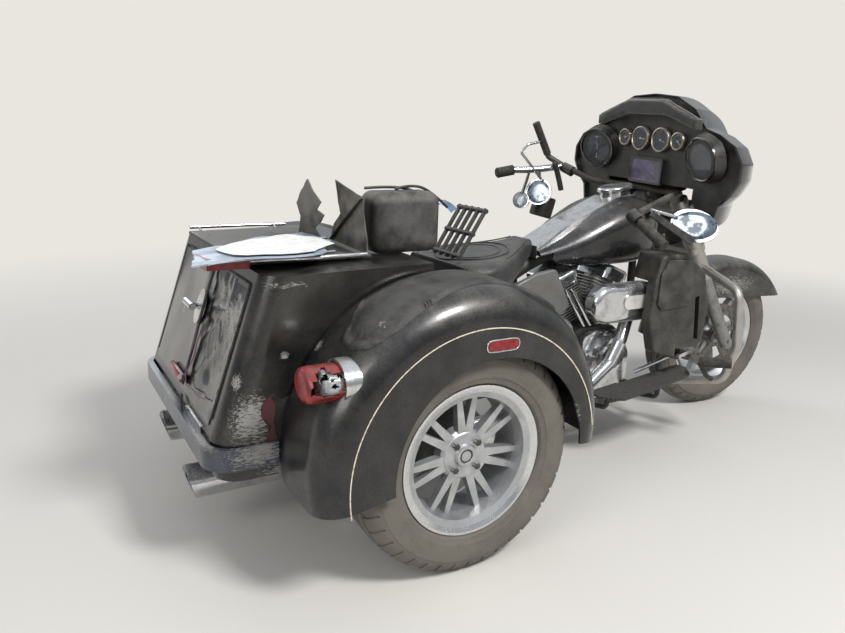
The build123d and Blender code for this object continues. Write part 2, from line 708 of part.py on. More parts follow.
def backrest_frame():
    """Ribbed black frame of the passenger's backrest, bent back."""
    frame = Part()
    for x in (-150, -112, -75, -38, 0):
        frame += rod((x, 452, 756), (x, 352, 915), 7)
    for y, z in ((446, 766), (402, 836), (356, 908)):
        frame += rod((-158, y, z), (8, y, z), 8)
    return frame


# Fork and everything that steers with it
FORK_X = 108
COVER_R = 34
SLIDER_R = 27
COVER_LOW_Z, COVER_TOP_Z = 610, 930
CLAMP_T = 26


def fork_covers():
    """Chrome upper covers with the two triple clamps and the stem between them."""
    legs = Part()
    for side in (-1, 1):
        legs += rod(fork_point(COVER_LOW_Z, side * FORK_X), fork_point(COVER_TOP_Z, side * FORK_X), COVER_R)
    for z, outside in ((HEAD_LOW_Z, -1), (HEAD_TOP_Z, 1)):
        middle = steer_point(z) + STEER_DIR * (outside * (CLAMP_T / 2 + CLEAR))
        leg = fork_point(middle.Z)
        plane = Plane(origin=middle, x_dir=(1, 0, 0), z_dir=STEER_DIR)
        shift = (leg.Y - middle.Y) * math.cos(math.radians(RAKE))
        plate = plane * Pos(0, shift / 2, 0) * Box(2 * FORK_X + 60, 76 + abs(shift), CLAMP_T)
        legs += fillet(plate.edges().filter_by(lambda e: abs(e.length - CLAMP_T) < 0.5), 20)
    stem = rod(steer_point(HEAD_LOW_Z - 10), steer_point(HEAD_TOP_Z + 10), STEM_R)
    return legs + stem


def fork_sliders():
    """Lower legs with the axle across their feet."""
    legs = Part()
    for side in (-1, 1):
        foot = Vector(side * FORK_X, FRONT_AXLE_Y, FRONT_TYRE_R)
        legs += rod(foot - FORK_DIR * 30, fork_point(COVER_LOW_Z - 1, side * FORK_X), SLIDER_R)
    axle = rod((-FORK_X - 34, FRONT_AXLE_Y, FRONT_TYRE_R), (FORK_X + 34, FRONT_AXLE_Y, FRONT_TYRE_R), 10)
    return legs + axle


def front_calipers():
    """One brake caliper behind each fork leg."""
    body = Pos(-88 + 30, FRONT_AXLE_Y + 118, FRONT_TYRE_R + 62) * Rot(28, 0, 0) * Box(34, 52, 96)
    slot = turned([(-60, 90), (-60, 151), (-50, 151), (-50, 90)], (0, FRONT_AXLE_Y, FRONT_TYRE_R))
    return both_sides(body - slot)


FRONT_CROWN_R = 346
FRONT_FENDER_HALF = 78
FRONT_FENDER_WALL = 4
# About the front axle: the visor's tip, the skirt's lower edge and the rear end
FRONT_TIP = (-360, 168)
SKIRT = ((40, 182), (190, 130), (300, 20), (348, 20))


def front_fender_solid(inset, drop, half):
    crown = (-20, FRONT_CROWN_R - inset)
    tip = (FRONT_TIP[0] + 2 * inset, FRONT_TIP[1] - drop)
    skirt = [(y, z - drop) for y, z in SKIRT]
    skirt[-1] = (SKIRT[-1][0] - inset, SKIRT[-1][1] - drop)
    wire = [TangentArc(crown, tip, tangent=(-1, 0)), Polyline(tip, *skirt),
            TangentArc(crown, skirt[-1], tangent=(1, 0))]
    face = Pos(FRONT_AXLE_Y, FRONT_TYRE_R) * make_face(wire)
    body = extrude(Plane.YZ.offset(-half) * face, 2 * half)
    return fillet(body.edges().filter_by(GeomType.CIRCLE), 48 - inset)


def front_fender():
    """Deep valanced fender: rounded crown, a visor in front and skirts down to the rim's edge."""
    hollow = front_fender_solid(FRONT_FENDER_WALL, 60, FRONT_FENDER_HALF - FRONT_FENDER_WALL)
    return front_fender_solid(0, 0, FRONT_FENDER_HALF) - hollow


BAR_R = 12.5
RIGHT_GRIP = ((-340, -207, 883), (-450, -218, 825))
LEFT_GRIP = ((440, -341, 1056), (444, -271, 1183))


def along(line, share):
    """The point at a share of the way from a line's first end to its second."""
    start, end = Vector(*line[0]), Vector(*line[1])
    return start + (end - start) * share


def handlebar():
    """The bent bar on its two risers: down and back on the right, forward and up on the left."""
    right = [(0, -590, 950), (-120, -580, 953), (-232, -420, 955), (-288, -245, 912), tuple(along(RIGHT_GRIP, -0.1)),
             tuple(along(RIGHT_GRIP, 0.98))]
    left = [(0, -590, 950), (110, -575, 955), (262, -460, 962), (405, -400, 1010), tuple(along(LEFT_GRIP, -0.1)),
            tuple(along(LEFT_GRIP, 0.98))]
    bar = pipe(right, BAR_R, 22) + pipe(left, BAR_R, 22)
    for side in (-1, 1):
        bar += rod((side * 45, -622, 913), (side * 45, -588, 958), 17)
    return bar


def grips():
    right = rod(*RIGHT_GRIP, 18.5)
    left = rod(*LEFT_GRIP, 16)
    return right + left - handlebar()


def hand_controls():
    """Switch housings inboard of the grips, and the front brake lever on the right."""
    right = rod(along(RIGHT_GRIP, -0.08), along(RIGHT_GRIP, -0.42), 25)
    lever = loft([Plane(origin=(-338, -248, 915), z_dir=(-0.35, -0.85, -0.55)) * Rectangle(20, 12),
                  Plane(origin=(-432, -362, 830), z_dir=(-0.35, -0.85, -0.55)) * Rectangle(26, 9)])
    left = rod((398, -402, 1004), (352, -418, 988), 22)
    return right + lever + left - handlebar()


MIRROR_VIEW = (-0.6, 0.76, 0.25)


def mirrors():
    """Teardrop mirror on the right, round one hanging on the left, each a shell behind its glass."""
    right = Plane(origin=(-398, -392, 880), x_dir=(-0.76, -0.6, -0.24), z_dir=MIRROR_VIEW) * extrude(Ellipse(80, 54), -16)
    stem = rod((-318, -262, 925), (-352, -345, 905), 6)
    left = Plane(origin=(432, -306, 893), z_dir=MIRROR_VIEW) * extrude(Circle(57), -16)
    arm = pipe([(424, -310, 948), (452, -212, 1060), (446, -240, 1092), (441, -310, 1108)], 6, 12)
    return right + stem + left + arm - grips() - handlebar() - hand_controls()


# Half outline of the fairing seen from behind, as x, z: crown, shoulder, wing, lower leg and throat
WING_OUTLINE = ((0, 1318), (120, 1309), (215, 1266), (276, 1202), (345, 1184), (420, 1148), (462, 1092),
                (464, 1032), (430, 978), (382, 936), (366, 862), (290, 850), (262, 930), (236, 958), (0, 958))
WING_CENTRE_Z = 1075
RIM_Y = -505
DASH_Y = -522
# y, width scale, height scale, height shift
FAIRING_SECTIONS = ((RIM_Y, 1.0, 1.0, 0), (-575, 0.94, 0.985, 0), (-655, 0.81, 0.92, -4), (-745, 0.62, 0.78, -12),
                    (-835, 0.36, 0.52, -24))
SPEAKER_X, SPEAKER_Z, SPEAKER_TOE = 290, 1094, 11
SPEAKER_W, SPEAKER_H = 80, 72
DIALS = ((-146, 33), (-56, 46), (56, 46), (146, 33))
DIAL_Z = 1149


def fairing_face(y, wide, tall, lift, inset=0):
    shrink = 1 - inset / 320
    half = [(x * wide * shrink, WING_CENTRE_Z + lift + (z - WING_CENTRE_Z) * tall * shrink) for x, z in WING_OUTLINE]
    points = half + [(-x, z) for x, z in reversed(half[1:-1])]
    face = make_face(Polyline(*points, close=True))
    return cross_plane(y) * fillet(face.vertices(), 14)


def fairing_solid(inset, back):
    """The fairing's form filled in, drawn in by an inset and moved back."""
    return loft([fairing_face(y + back, wide, tall, lift, inset) for y, wide, tall, lift in FAIRING_SECTIONS])


def fairing_outer():
    """The glossy outer shell of the fork-mounted fairing, open below for the fork."""
    return (fairing_solid(0, 0) - fairing_solid(6, 6) - block(-236, 236, -720, -480, 830, 985)
            - headlamp_bore(96))


def speaker_place(side, body):
    """Puts a piece made about local Z on a speaker's axis, toed in towards the rider."""
    return Pos(side * SPEAKER_X, -484, SPEAKER_Z) * Rot(0, 0, side * SPEAKER_TOE) * Rot(78, 0, 0) * body


def fairing_inner():
    """The dash: one panel across the back of the shell, with a pod round each speaker."""
    panel = fairing_solid(9, 6) & block(-480, 480, DASH_Y - 10, DASH_Y, 800, 1340)
    panel -= block(-240, 240, -560, -500, 830, 985)
    room = extrude(fairing_face(RIM_Y + 40, 1, 1, 0, 14), RIM_Y + 40 - DASH_Y)
    for side in (-1, 1):
        pod = loft([Plane.XY.offset(34) * Ellipse(SPEAKER_W + 22, SPEAKER_H + 20),
                    Plane.XY * Ellipse(SPEAKER_W + 8, SPEAKER_H + 8)])
        panel += speaker_place(side, pod) & room
        panel -= speaker_place(side, Pos(0, 0, -4) * extrude(Ellipse(SPEAKER_W + 1.5, SPEAKER_H + 1.5), 22))
    return panel


def speakers():
    return sum((speaker_place(side, Pos(0, 0, 2) * extrude(Ellipse(SPEAKER_W, SPEAKER_H), 12)) for side in (-1, 1)),
               Part())


def gauges():
    """Four round instruments and the screen, standing proud of the dash."""
    dials = Part()
    for x, radius in DIALS:
        dials += Pos(x, DASH_Y + 0.2, DIAL_Z) * Rot(90, 0, 0) * extrude(Circle(radius), -16)
    return dials + block(-84, 84, DASH_Y + 0.2, DASH_Y + 16, 986, 1074)


HEADLAMP_Z = 1035


def headlamp_bore(radius):
    return rod((0, -900, HEADLAMP_Z), (0, -700, HEADLAMP_Z), radius)


def headlamp():
    """Round headlamp in the nose of the fairing: bucket, domed lens and trim ring."""
    bucket = rod((0, -700, HEADLAMP_Z), (0, -846, HEADLAMP_Z), 70, 94)
    lens = rod((0, -846, HEADLAMP_Z), (0, -862, HEADLAMP_Z), 94)
    return bucket + fillet(lens.faces().sort_by(Axis.Y)[0].edges(), 12)


def fairing_pouch():
    """Soft three-pocket pouch on the top edge of the fairing."""
    middle = block(-110, 110, -500, -452, 1232, 1304, 14)
    side = loft([Plane(origin=(105, -476, 1266), z_dir=(1, 0, 0), x_dir=(0, 1, 0)) * Rectangle(46, 64),
                 Plane(origin=(276, -476, 1214), z_dir=(1, 0, 0), x_dir=(0, 1, 0)) * Rectangle(40, 44)])
    return middle + both_sides(side)


def steered(piece):
    """A piece of the fork assembly turned to the angle the machine was parked at."""
    return piece.rotate(STEER_AXIS, STEER_AT_REST)


FIXED_NODES = {
    "frame_tubes": frame_tubes,
    "rear_axle": rear_axle,
    "engine_cases": lambda: crankcase() + transmission(),
    "cylinders": lambda: cylinder(-CYLINDER_LEAN) + cylinder(CYLINDER_LEAN),
    "rocker_boxes": lambda: rocker_box(-CYLINDER_LEAN) + rocker_box(CYLINDER_LEAN),
    "pushrod_tubes": pushrod_tubes,
    "engine_covers": lambda: cam_cover() + primary_cover(),
    "air_cleaner": air_cleaner,
    "exhaust_pipes": exhaust_headers,
    "mufflers": lambda: muffler(-1, 182) + muffler(1, 225),
    "fuel_tank": fuel_tank,
    "tank_console": lambda: tank_console() - fuel_tank(),
    "fuel_door": fuel_door,
    "rider_seat": rider_seat,
    "side_covers": side_covers,
    "battery_box": battery_box,
    "lower_fairings": lambda: both_sides(lower_fairing()),
    "glove_lid_right": glove_lid,
    "glove_lid_left": lambda: across(glove_lid()),
    "engine_guard": engine_guard,
    "footboards": footboards,
    "highway_pegs": highway_pegs,
    "foot_controls": foot_controls,
    "trunk_body": trunk_body,
    "tailgate": tailgate,
    "tailgate_handle": tailgate_handle,
    "rear_bumper": rear_bumper,
    "rear_fenders": lambda: both_sides(rear_fender()),
    "fender_pads": lambda: both_sides(fender_pad()),
    "tail_lamp_bezels": lambda: both_sides(tail_lamp_bezel()),
    "tail_lamp_lenses": lambda: both_sides(tail_lamp_lens()),
    "luggage_base": luggage_base,
    "luggage_rails": luggage_rails,
    "torn_panel": torn_panel,
    "corner_lens": corner_lens,
    "box_shards": box_shards,
    "speaker_pod": speaker_pod,
    "backrest_frame": backrest_frame,
    "rear_tyre_right": lambda: rear_tyre(-1),
    "rear_tyre_left": lambda: rear_tyre(1),
    "rear_rim_right": lambda: rear_rim(-1),
    "rear_rim_left": lambda: rear_rim(1),
}

STEERED_NODES = {
    "fork_covers": fork_covers,
    "fork_sliders": fork_sliders,
    "front_calipers": front_calipers,
    "front_fender": front_fender,
    "headlamp": headlamp,
    "handlebar": handlebar,
    "grips": grips,
    "hand_controls": hand_controls,
    "mirrors": mirrors,
    "fairing_outer": fairing_outer,
    "fairing_inner": fairing_inner,
    "dash_instruments": lambda: speakers() + gauges(),
    "fairing_pouch": fairing_pouch,
    "front_tyre": front_tyre,
    "front_rim": front_rim,
    "front_discs": front_discs,
}

os.makedirs("parts", exist_ok=True)
for name, make in FIXED_NODES.items():
    export_step(make(), f"parts/{name}.step")
for name, make in STEERED_NODES.items():
    export_step(steered(make()), f"parts/{name}.step")
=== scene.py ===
# %% [markdown]
# # A wrecked three-wheeled touring motorcycle
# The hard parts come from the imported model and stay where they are. This lesson dresses them: every part
# gets a material that says what it is made of and what has happened to it, and the soft, thin and broken
# pieces are made here. The machine faces -Y, its right side is -X, and the camera stands behind the
# right rear corner, as for the photograph.

# %% Load the frame
import math
import bmesh
import bpy
from mathutils import Euler, Matrix, Vector, noise


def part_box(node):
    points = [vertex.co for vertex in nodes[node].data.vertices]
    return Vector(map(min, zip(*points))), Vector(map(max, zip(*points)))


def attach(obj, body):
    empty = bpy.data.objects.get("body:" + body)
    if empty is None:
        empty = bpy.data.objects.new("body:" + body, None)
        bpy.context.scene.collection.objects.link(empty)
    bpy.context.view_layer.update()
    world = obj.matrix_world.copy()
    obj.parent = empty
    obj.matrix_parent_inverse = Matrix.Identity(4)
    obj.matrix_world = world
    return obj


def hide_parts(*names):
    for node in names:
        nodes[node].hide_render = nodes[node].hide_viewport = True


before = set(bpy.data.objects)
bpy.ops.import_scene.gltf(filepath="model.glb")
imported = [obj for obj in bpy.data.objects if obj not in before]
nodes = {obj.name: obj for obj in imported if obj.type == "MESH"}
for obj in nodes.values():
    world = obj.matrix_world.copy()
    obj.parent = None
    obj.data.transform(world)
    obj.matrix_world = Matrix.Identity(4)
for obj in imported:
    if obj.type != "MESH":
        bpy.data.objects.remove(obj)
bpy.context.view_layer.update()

# %% [markdown]
# The camera of the photograph stood 2.1 m to the right of the middle of the machine and 1.7 m behind it,
# at the height of a chest, and was tipped a little to its right. Its place was worked out from the two
# wheels, whose sizes are known.

# %% Camera
CAMERA_AT = (-2.091, 1.702, 1.154)
CAMERA_YAW, CAMERA_PITCH, CAMERA_ROLL = (math.radians(v) for v in (59.87, 14.32, 1.86))
LENS_MM = 31.07
forward = Vector((math.sin(CAMERA_YAW) * math.cos(CAMERA_PITCH), -math.cos(CAMERA_YAW) * math.cos(CAMERA_PITCH),
                  -math.sin(CAMERA_PITCH)))
camera = bpy.data.objects.new("photo_camera", bpy.data.cameras.new("photo_camera"))
bpy.context.scene.collection.objects.link(camera)
camera.data.lens = LENS_MM
camera.data.sensor_width = 36
camera.rotation_mode = "QUATERNION"
camera.rotation_quaternion = forward.to_track_quat("-Z", "Y") @ Euler((0, 0, CAMERA_ROLL)).to_quaternion()
camera.location = CAMERA_AT
bpy.context.scene.camera = camera
print("camera looks along", [round(v, 3) for v in forward])

# %% [markdown]
# Colours are written as they look on a screen, in sRGB hex, and Blender's nodes want them linear, so one
# function turns one into the other. A second function adds a shader node with its settings and its links,
# which keeps each material short enough to read.

# %% Helpers for materials
def srgb(code):
    """A screen colour such as #8A8378, as the linear colour that a shader works in."""
    parts = [int(code[i:i + 2], 16) / 255 for i in (1, 3, 5)]
    return tuple(c / 12.92 if c <= 0.04045 else ((c + 0.055) / 1.055) ** 2.4 for c in parts) + (1.0,)


def plug(tree, node, inputs):
    """Fills a node's inputs. What is a node or a socket is linked, and anything else is the value."""
    for name, value in dict(inputs).items():
        if isinstance(value, bpy.types.Node):
            value = next(socket for socket in value.outputs if socket.enabled)
        if isinstance(value, bpy.types.NodeSocket):
            tree.links.new(value, node.inputs[name])
        else:
            node.inputs[name].default_value = value


def add(tree, kind, inputs=(), **settings):
    """Adds a shader node with its settings, and fills its inputs."""
    node = tree.nodes.new("ShaderNode" + kind)
    for name, value in settings.items():
        setattr(node, name, value)
    plug(tree, node, inputs)
    return node


print("a mid grey in linear:", [round(v, 3) for v in srgb("#808080")])

# %% [markdown]
# The studio is a pale floor under an even pale sky. The floor could be a curved backdrop, but a plain
# sheet that fades to the colour of the sky far away hides its edge just as well. Metal shows what is
# round it, so chrome sees the pale sky too, a little darker near the ground, which keeps its shape
# readable.

# %% Floor, sky and lamps
PALE = srgb("#E9E6E0")
bpy.ops.mesh.primitive_plane_add(size=80)
floor = bpy.context.object
floor.name = "studio_floor"
paper = bpy.data.materials.new("pale_floor_paper")
paper.use_nodes = True
tree = paper.node_tree
plug(tree, tree.nodes["Principled BSDF"], {"Roughness": 0.95, "Base Color": srgb("#D4D0C9")})
away = add(tree, "VectorMath", {0: add(tree, "TexCoord").outputs["Object"]}, operation="LENGTH")
fade = add(tree, "MapRange", {"Value": away, "From Min": 1.9, "From Max": 5.5}, interpolation_type="SMOOTHSTEP")
distant = add(tree, "Emission", {"Color": PALE, "Strength": 1.0})
mixed = add(tree, "MixShader", {0: fade, 1: tree.nodes["Principled BSDF"].outputs[0], 2: distant})
plug(tree, tree.nodes["Material Output"], {"Surface": mixed})
floor.data.materials.append(paper)

world = bpy.data.worlds.new("studio_sky")
bpy.context.scene.world = world
world.use_nodes = True
tree = world.node_tree
tree.nodes.clear()
paths = add(tree, "LightPath")
glossy = add(tree, "Math", {0: paths.outputs["Is Glossy Ray"], 1: paths.outputs["Is Transmission Ray"]},
             operation="MAXIMUM")
height = add(tree, "SeparateXYZ", {0: add(tree, "TexCoord").outputs["Generated"]})
rise = add(tree, "MapRange", {"Value": height.outputs["Z"], "From Min": 0.02, "From Max": 0.7, "To Min": 0.34,
                              "To Max": 1.0})
lit = add(tree, "Background", {"Color": srgb("#E4EAF3"), "Strength": 0.5})
mirrored = add(tree, "Background", {"Color": srgb("#DFE4EA"), "Strength": rise})
behind = add(tree, "Background", {"Color": PALE, "Strength": 1.0})
look = add(tree, "MixShader", {0: glossy, 1: lit, 2: mirrored})
look = add(tree, "MixShader", {0: paths.outputs["Is Camera Ray"], 1: look, 2: behind})
add(tree, "OutputWorld", {"Surface": look})

LAMPS = {  # place, aim, width and power. The key stands high in front on the right, as the sun did
    "key_lamp": ((-3.6, -0.4, 4.4), (0, 0, 0.4), 1.1, 240),
    "rear_lamp": ((-2.2, 4.8, 2.8), (0, 0.4, 0.5), 2.4, 80),
    "left_lamp": ((4.5, 1.0, 3.2), (0, 0, 0.6), 3.0, 60),
}
for name, (place, aim, width, power) in LAMPS.items():
    lamp = bpy.data.objects.new(name, bpy.data.lights.new(name, "AREA"))
    lamp.data.size, lamp.data.energy = width, power
    lamp.location = place
    lamp.rotation_euler = (Vector(aim) - Vector(place)).to_track_quat("-Z", "Y").to_euler()
    bpy.context.scene.collection.objects.link(lamp)
bpy.context.scene.view_settings.view_transform = "Standard"
print("lamps:", ", ".join(LAMPS))

# %% [markdown]
# Almost every surface of this machine carries dust, and many are scraped. Both are masks, patterns between
# 0 and 1 that mix a second finish over the first. Dust comes from cloudy noise and lies thicker on what
# faces up. A scrape is a place on the machine, so it is written as a point and a reach in metres.

# %% Masks for dust and damage
def start(name):
    """A new material with its tree, its shader and the place of each point in metres."""
    material = bpy.data.materials.new(name)
    material.use_nodes = True
    tree = material.node_tree
    return material, tree, tree.nodes["Principled BSDF"], add(tree, "TexCoord").outputs["Object"]


def clouds(tree, place, size_mm, low, high, stretch=(1, 1, 1)):
    """Cloudy patches about size_mm across, which begin where the noise passes low and are whole at high."""
    spread = add(tree, "Mapping", {"Vector": place, "Scale": stretch})
    cloud = add(tree, "TexNoise", {"Vector": spread, "Scale": 1000 / size_mm, "Detail": 5.0, "Roughness": 0.62})
    return add(tree, "MapRange", {"Value": cloud, "From Min": low, "From Max": high})


def dust(tree, place, thin, thick, size_mm=60):
    """Dust: thin on upright faces and thick on those that face up, in clouds and in specks."""
    up = add(tree, "SeparateXYZ", {0: add(tree, "NewGeometry").outputs["Normal"]})
    lying = add(tree, "MapRange", {"Value": up.outputs["Z"], "From Min": 0.1, "From Max": 0.95, "To Min": thin,
                                   "To Max": thick})
    grain = add(tree, "Math", {0: clouds(tree, place, 5, 0.42, 0.62), 1: 0.4, 2: 0.6}, operation="MULTIPLY_ADD")
    film = add(tree, "Math", {0: clouds(tree, place, size_mm, 0.25, 0.7), 1: grain}, operation="MULTIPLY")
    return add(tree, "Math", {0: film, 1: lying}, operation="MULTIPLY")


def worn(tree, place, spots, grain_mm=14, streak=(1, 1, 1), most=0.85):
    """Ragged worn places: inside the ellipsoid of each (point, reach in metres) the coat is gone in patches."""
    inside = 0.0
    for point, reach in spots:
        off = add(tree, "VectorMath", {0: place, 1: point}, operation="SUBTRACT")
        off = add(tree, "VectorMath", {0: off, 1: reach}, operation="DIVIDE")
        off = add(tree, "VectorMath", {0: off}, operation="LENGTH")
        spot = add(tree, "MapRange", {"Value": off, "From Min": 1.25, "From Max": 0.2})
        inside = add(tree, "Math", {0: spot, 1: inside}, operation="MAXIMUM")
    grain = clouds(tree, place, grain_mm, 0.3, 0.66, streak)
    ragged = add(tree, "Math", {0: inside, 1: grain}, operation="ADD")
    return add(tree, "MapRange", {"Value": ragged, "From Min": 1.06, "From Max": 1.45, "To Max": most})


def layers(tree, shader, ground, *coats):
    """Lays coats over a ground. Each is a colour, metallic and roughness, and a coat's mask comes first."""
    colour, metallic, roughness = ground
    for mask, over, over_metallic, over_roughness in coats:
        colour = add(tree, "Mix", {0: mask, 6: colour, 7: over}, data_type="RGBA")
        if metallic != over_metallic:
            metallic = add(tree, "Mix", {0: mask, 2: metallic, 3: over_metallic})
        if roughness != over_roughness:
            roughness = add(tree, "Mix", {0: mask, 2: roughness, 3: over_roughness})
    plug(tree, shader, {"Base Color": colour, "Metallic": metallic, "Roughness": roughness})


def raised(tree, shader, height, distance_mm, under=None):
    """Bumps the surface by distance_mm where the mask is 1, over a bump that is there already."""
    bump = add(tree, "Bump", {"Height": height, "Distance": distance_mm / 1000})
    if under:
        plug(tree, bump, {"Normal": under})
    plug(tree, shader, {"Normal": bump})
    return bump


DUST = srgb("#8E897E")
MUD = srgb("#6A6255")
print("dust", [round(v, 2) for v in DUST[:3]], "mud", [round(v, 2) for v in MUD[:3]])

# %% [markdown]
# The painted panels are moulded plastic and fibreglass with a dark metallic pearl under clear lacquer. Real
# flakes are 0.05 mm and would not show, so they are drawn 1.5 mm wide. The lacquer has gone dull in patches
# and the paint is scraped through to pale primer where the machine slid, in streaks along the slide.

# %% Metallic pearl lacquer
FLAKE_MM = 1.5
PRIMER = srgb("#94928D")


def pearl_lacquer(name, dark, light, thin, thick, spots=(), streak=(1, 0.25, 1), dull=0.34):
    """Flakes under lacquer, with dull patches, dust from thin to thick, and bare places in streaks."""
    material, tree, shader, place = start(name)
    flakes = add(tree, "TexVoronoi", {"Vector": place, "Scale": 1000 / FLAKE_MM}, feature="F1")
    sparkle = add(tree, "MapRange", {"Value": flakes, "From Min": 0.1, "From Max": 0.55})
    paint = add(tree, "Mix", {0: sparkle, 6: srgb(light), 7: srgb(dark)}, data_type="RGBA")
    scuffs = clouds(tree, place, 160, 0.4, 0.7)
    film = dust(tree, place, thin, thick, 90)
    bare = worn(tree, place, spots, 3.5, streak)
    layers(tree, shader, (paint, 0.75, 0.22), (scuffs, srgb(light), 0.75, dull), (film, DUST, 0.0, 0.8),
           (bare, PRIMER, 0.0, 0.72))
    plug(tree, shader, {"Coat Weight": 0.5, "Coat Roughness": 0.15})
    raised(tree, shader, bare, -0.4, raised(tree, shader, clouds(tree, place, 3, 0.3, 0.7, streak), 0.05))
    return material


# Each scrape is its place and how far it reaches from there, in metres
TRUNK_SCRAPES = (((-0.430, 1.215, 0.445), (0.04, 0.075, 0.085)), ((-0.430, 1.190, 0.36), (0.03, 0.08, 0.05)),
                 ((-0.425, 1.110, 0.30), (0.03, 0.10, 0.04)), ((-0.400, 1.110, 0.778), (0.04, 0.07, 0.012)),
                 ((-0.402, 1.245, 0.54), (0.02, 0.018, 0.03)), ((-0.425, 1.127, 0.600), (0.02, 0.016, 0.012)),
                 ((0.10, 1.21, 0.66), (0.05, 0.08, 0.05)))
FENDER_SCRAPES = (((-0.449, 1.050, 0.625), (0.02, 0.03, 0.02)), ((-0.47, 1.10, 0.40), (0.04, 0.05, 0.02)),
                  ((-0.44, 1.06, 0.36), (0.03, 0.03, 0.09)), ((-0.69, 0.40, 0.40), (0.02, 0.02, 0.07)))
GUARD_SCRAPES = (((-0.08, -1.0, 0.55), (0.05, 0.16, 0.06)),)
BUMPER_SCRAPES = (((-0.425, 1.20, 0.36), (0.06, 0.10, 0.06)), ((-0.32, 1.315, 0.375), (0.13, 0.03, 0.012)),
                  ((0.05, 1.325, 0.375), (0.12, 0.02, 0.01)))
trunk_paint = pearl_lacquer("metallic_pearl_on_trunk", "#16161A", "#3A3936", 0.14, 0.45, TRUNK_SCRAPES)
fender_paint = pearl_lacquer("metallic_pearl_on_fender", "#131417", "#2B2B2E", 0.15, 0.45, FENDER_SCRAPES)
tank_paint = pearl_lacquer("metallic_pearl_on_tank", "#16161A", "#33343A", 0.16, 0.5, dull=0.26)
guard_paint = pearl_lacquer("metallic_pearl_on_front_fender", "#151515", "#302F2F", 0.4, 0.75, GUARD_SCRAPES)
bumper_paint = pearl_lacquer("metallic_pearl_on_bumper", "#1C2536", "#3D4A63", 0.3, 0.45, BUMPER_SCRAPES)
print("lacquers:", [m.name for m in bpy.data.materials if m.name.startswith("metallic")])

# %% [markdown]
# Chrome plate is a mirror, but on this machine it has gone dull with dust and hard water. It is a metal with
# almost no roughness, a greyer and rougher patch here and there, and a coat of dust on top. Its colour
# comes nearly all from what it reflects.

# %% Chrome plate and polished metal
def chrome_plate(name, tone="#D3D4D6", thin=0.12, thick=0.5, roughness=0.07):
    """A mirror with smears of hard water and a coat of dust."""
    material, tree, shader, place = start(name)
    smears = clouds(tree, place, 35, 0.45, 0.75)
    layers(tree, shader, (srgb(tone), 1.0, roughness), (smears, srgb("#A7A6A3"), 1.0, roughness + 0.22),
           (dust(tree, place, thin, thick, 45), DUST, 0.0, 0.75))
    raised(tree, shader, clouds(tree, place, 4, 0.35, 0.75), 0.02)
    return material


chrome = chrome_plate("chrome_plated_steel")
dusty_chrome = chrome_plate("chrome_under_thick_dust", "#B9B6B0", 0.62, 0.95, 0.2)
dark_chrome = chrome_plate("black_chrome_headlamp_shell", "#3A3A3C", 0.2, 0.5, 0.12)
print("chrome:", chrome.name, dusty_chrome.name)

# %% [markdown]
# Castings are aluminium poured in sand or in a die, so their skin has a grain of a millimetre or two, and
# engine castings are painted. The cylinders are black, and a cutter has run over the rims of their fins and
# left them bright. A face on a rim looks straight away from the cylinder, so the angle between the face
# and the cylinder's own axis tells which faces are bright.

# %% Castings
SKIN_MM = 1.6
CYLINDER_LEAN = math.radians(22.5)
ENGINE_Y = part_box("cylinders")[0].lerp(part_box("cylinders")[1], 0.5).y


def cast_aluminium(name, tone, pitted, metallic=0.55, roughness=0.5, thin=0.25, thick=0.6):
    """The skin of a casting, with darker pits and dust."""
    material, tree, shader, place = start(name)
    skin = clouds(tree, place, SKIN_MM, 0.3, 0.7)
    pits = clouds(tree, place, 30, 0.4, 0.7)
    layers(tree, shader, (srgb(tone), metallic, roughness), (pits, srgb(pitted), metallic, roughness + 0.15),
           (dust(tree, place, thin, thick, 50), DUST, 0.0, 0.85))
    raised(tree, shader, skin, 0.25)
    return material


cast_grey = cast_aluminium("sand_cast_aluminium", "#5D5D5C", "#45443F")
cast_silver = cast_aluminium("die_cast_fork_leg", "#9A9B9C", "#77766F", 0.85, 0.38)
finned = cast_aluminium("black_enamel_on_finned_casting", "#161616", "#26241F", 0.2, 0.45, 0.12, 0.4)
tree = finned.node_tree
shader = tree.nodes["Principled BSDF"]
normal = add(tree, "NewGeometry").outputs["True Normal"]
where = add(tree, "SeparateXYZ", {0: add(tree, "TexCoord").outputs["Object"]})
along = []
for lean in (-1, 1):
    axis = (0, lean * math.sin(CYLINDER_LEAN), math.cos(CYLINDER_LEAN))
    turn = add(tree, "VectorMath", {0: normal, 1: axis}, operation="DOT_PRODUCT")
    along.append(add(tree, "Math", {0: turn}, operation="ABSOLUTE"))
behind_engine = add(tree, "Math", {0: where.outputs["Y"], 1: ENGINE_Y}, operation="GREATER_THAN")
facing = add(tree, "Mix", {0: behind_engine, 2: along[0], 3: along[1]})
rim = add(tree, "MapRange", {"Value": facing, "From Min": 0.2, "From Max": 0.1})
old = shader.inputs["Base Color"].links[0].from_socket
old_metal = shader.inputs["Metallic"].links[0].from_socket
cut = add(tree, "Math", {0: rim, 1: clouds(tree, where.inputs[0].links[0].from_socket, 40, 0.25, 0.4)},
          operation="MULTIPLY")
plug(tree, shader, {"Base Color": add(tree, "Mix", {0: cut, 6: old, 7: srgb("#B4B3AE")}, data_type="RGBA"),
                    "Metallic": add(tree, "Mix", {0: cut, 2: old_metal, 3: 0.9})})
print("fins bright where they face away from an axis leaning", round(math.degrees(CYLINDER_LEAN), 1), "degrees")

# %% [markdown]
# The rear wheels are cast aluminium with a silver coat and a lip turned bright on a lathe, and the spokes
# have dust in their corners. The steel brake disc sits inside the same part, so the finish changes with the
# distance from the middle of the machine. The turned lip has fine rings that follow the axle.

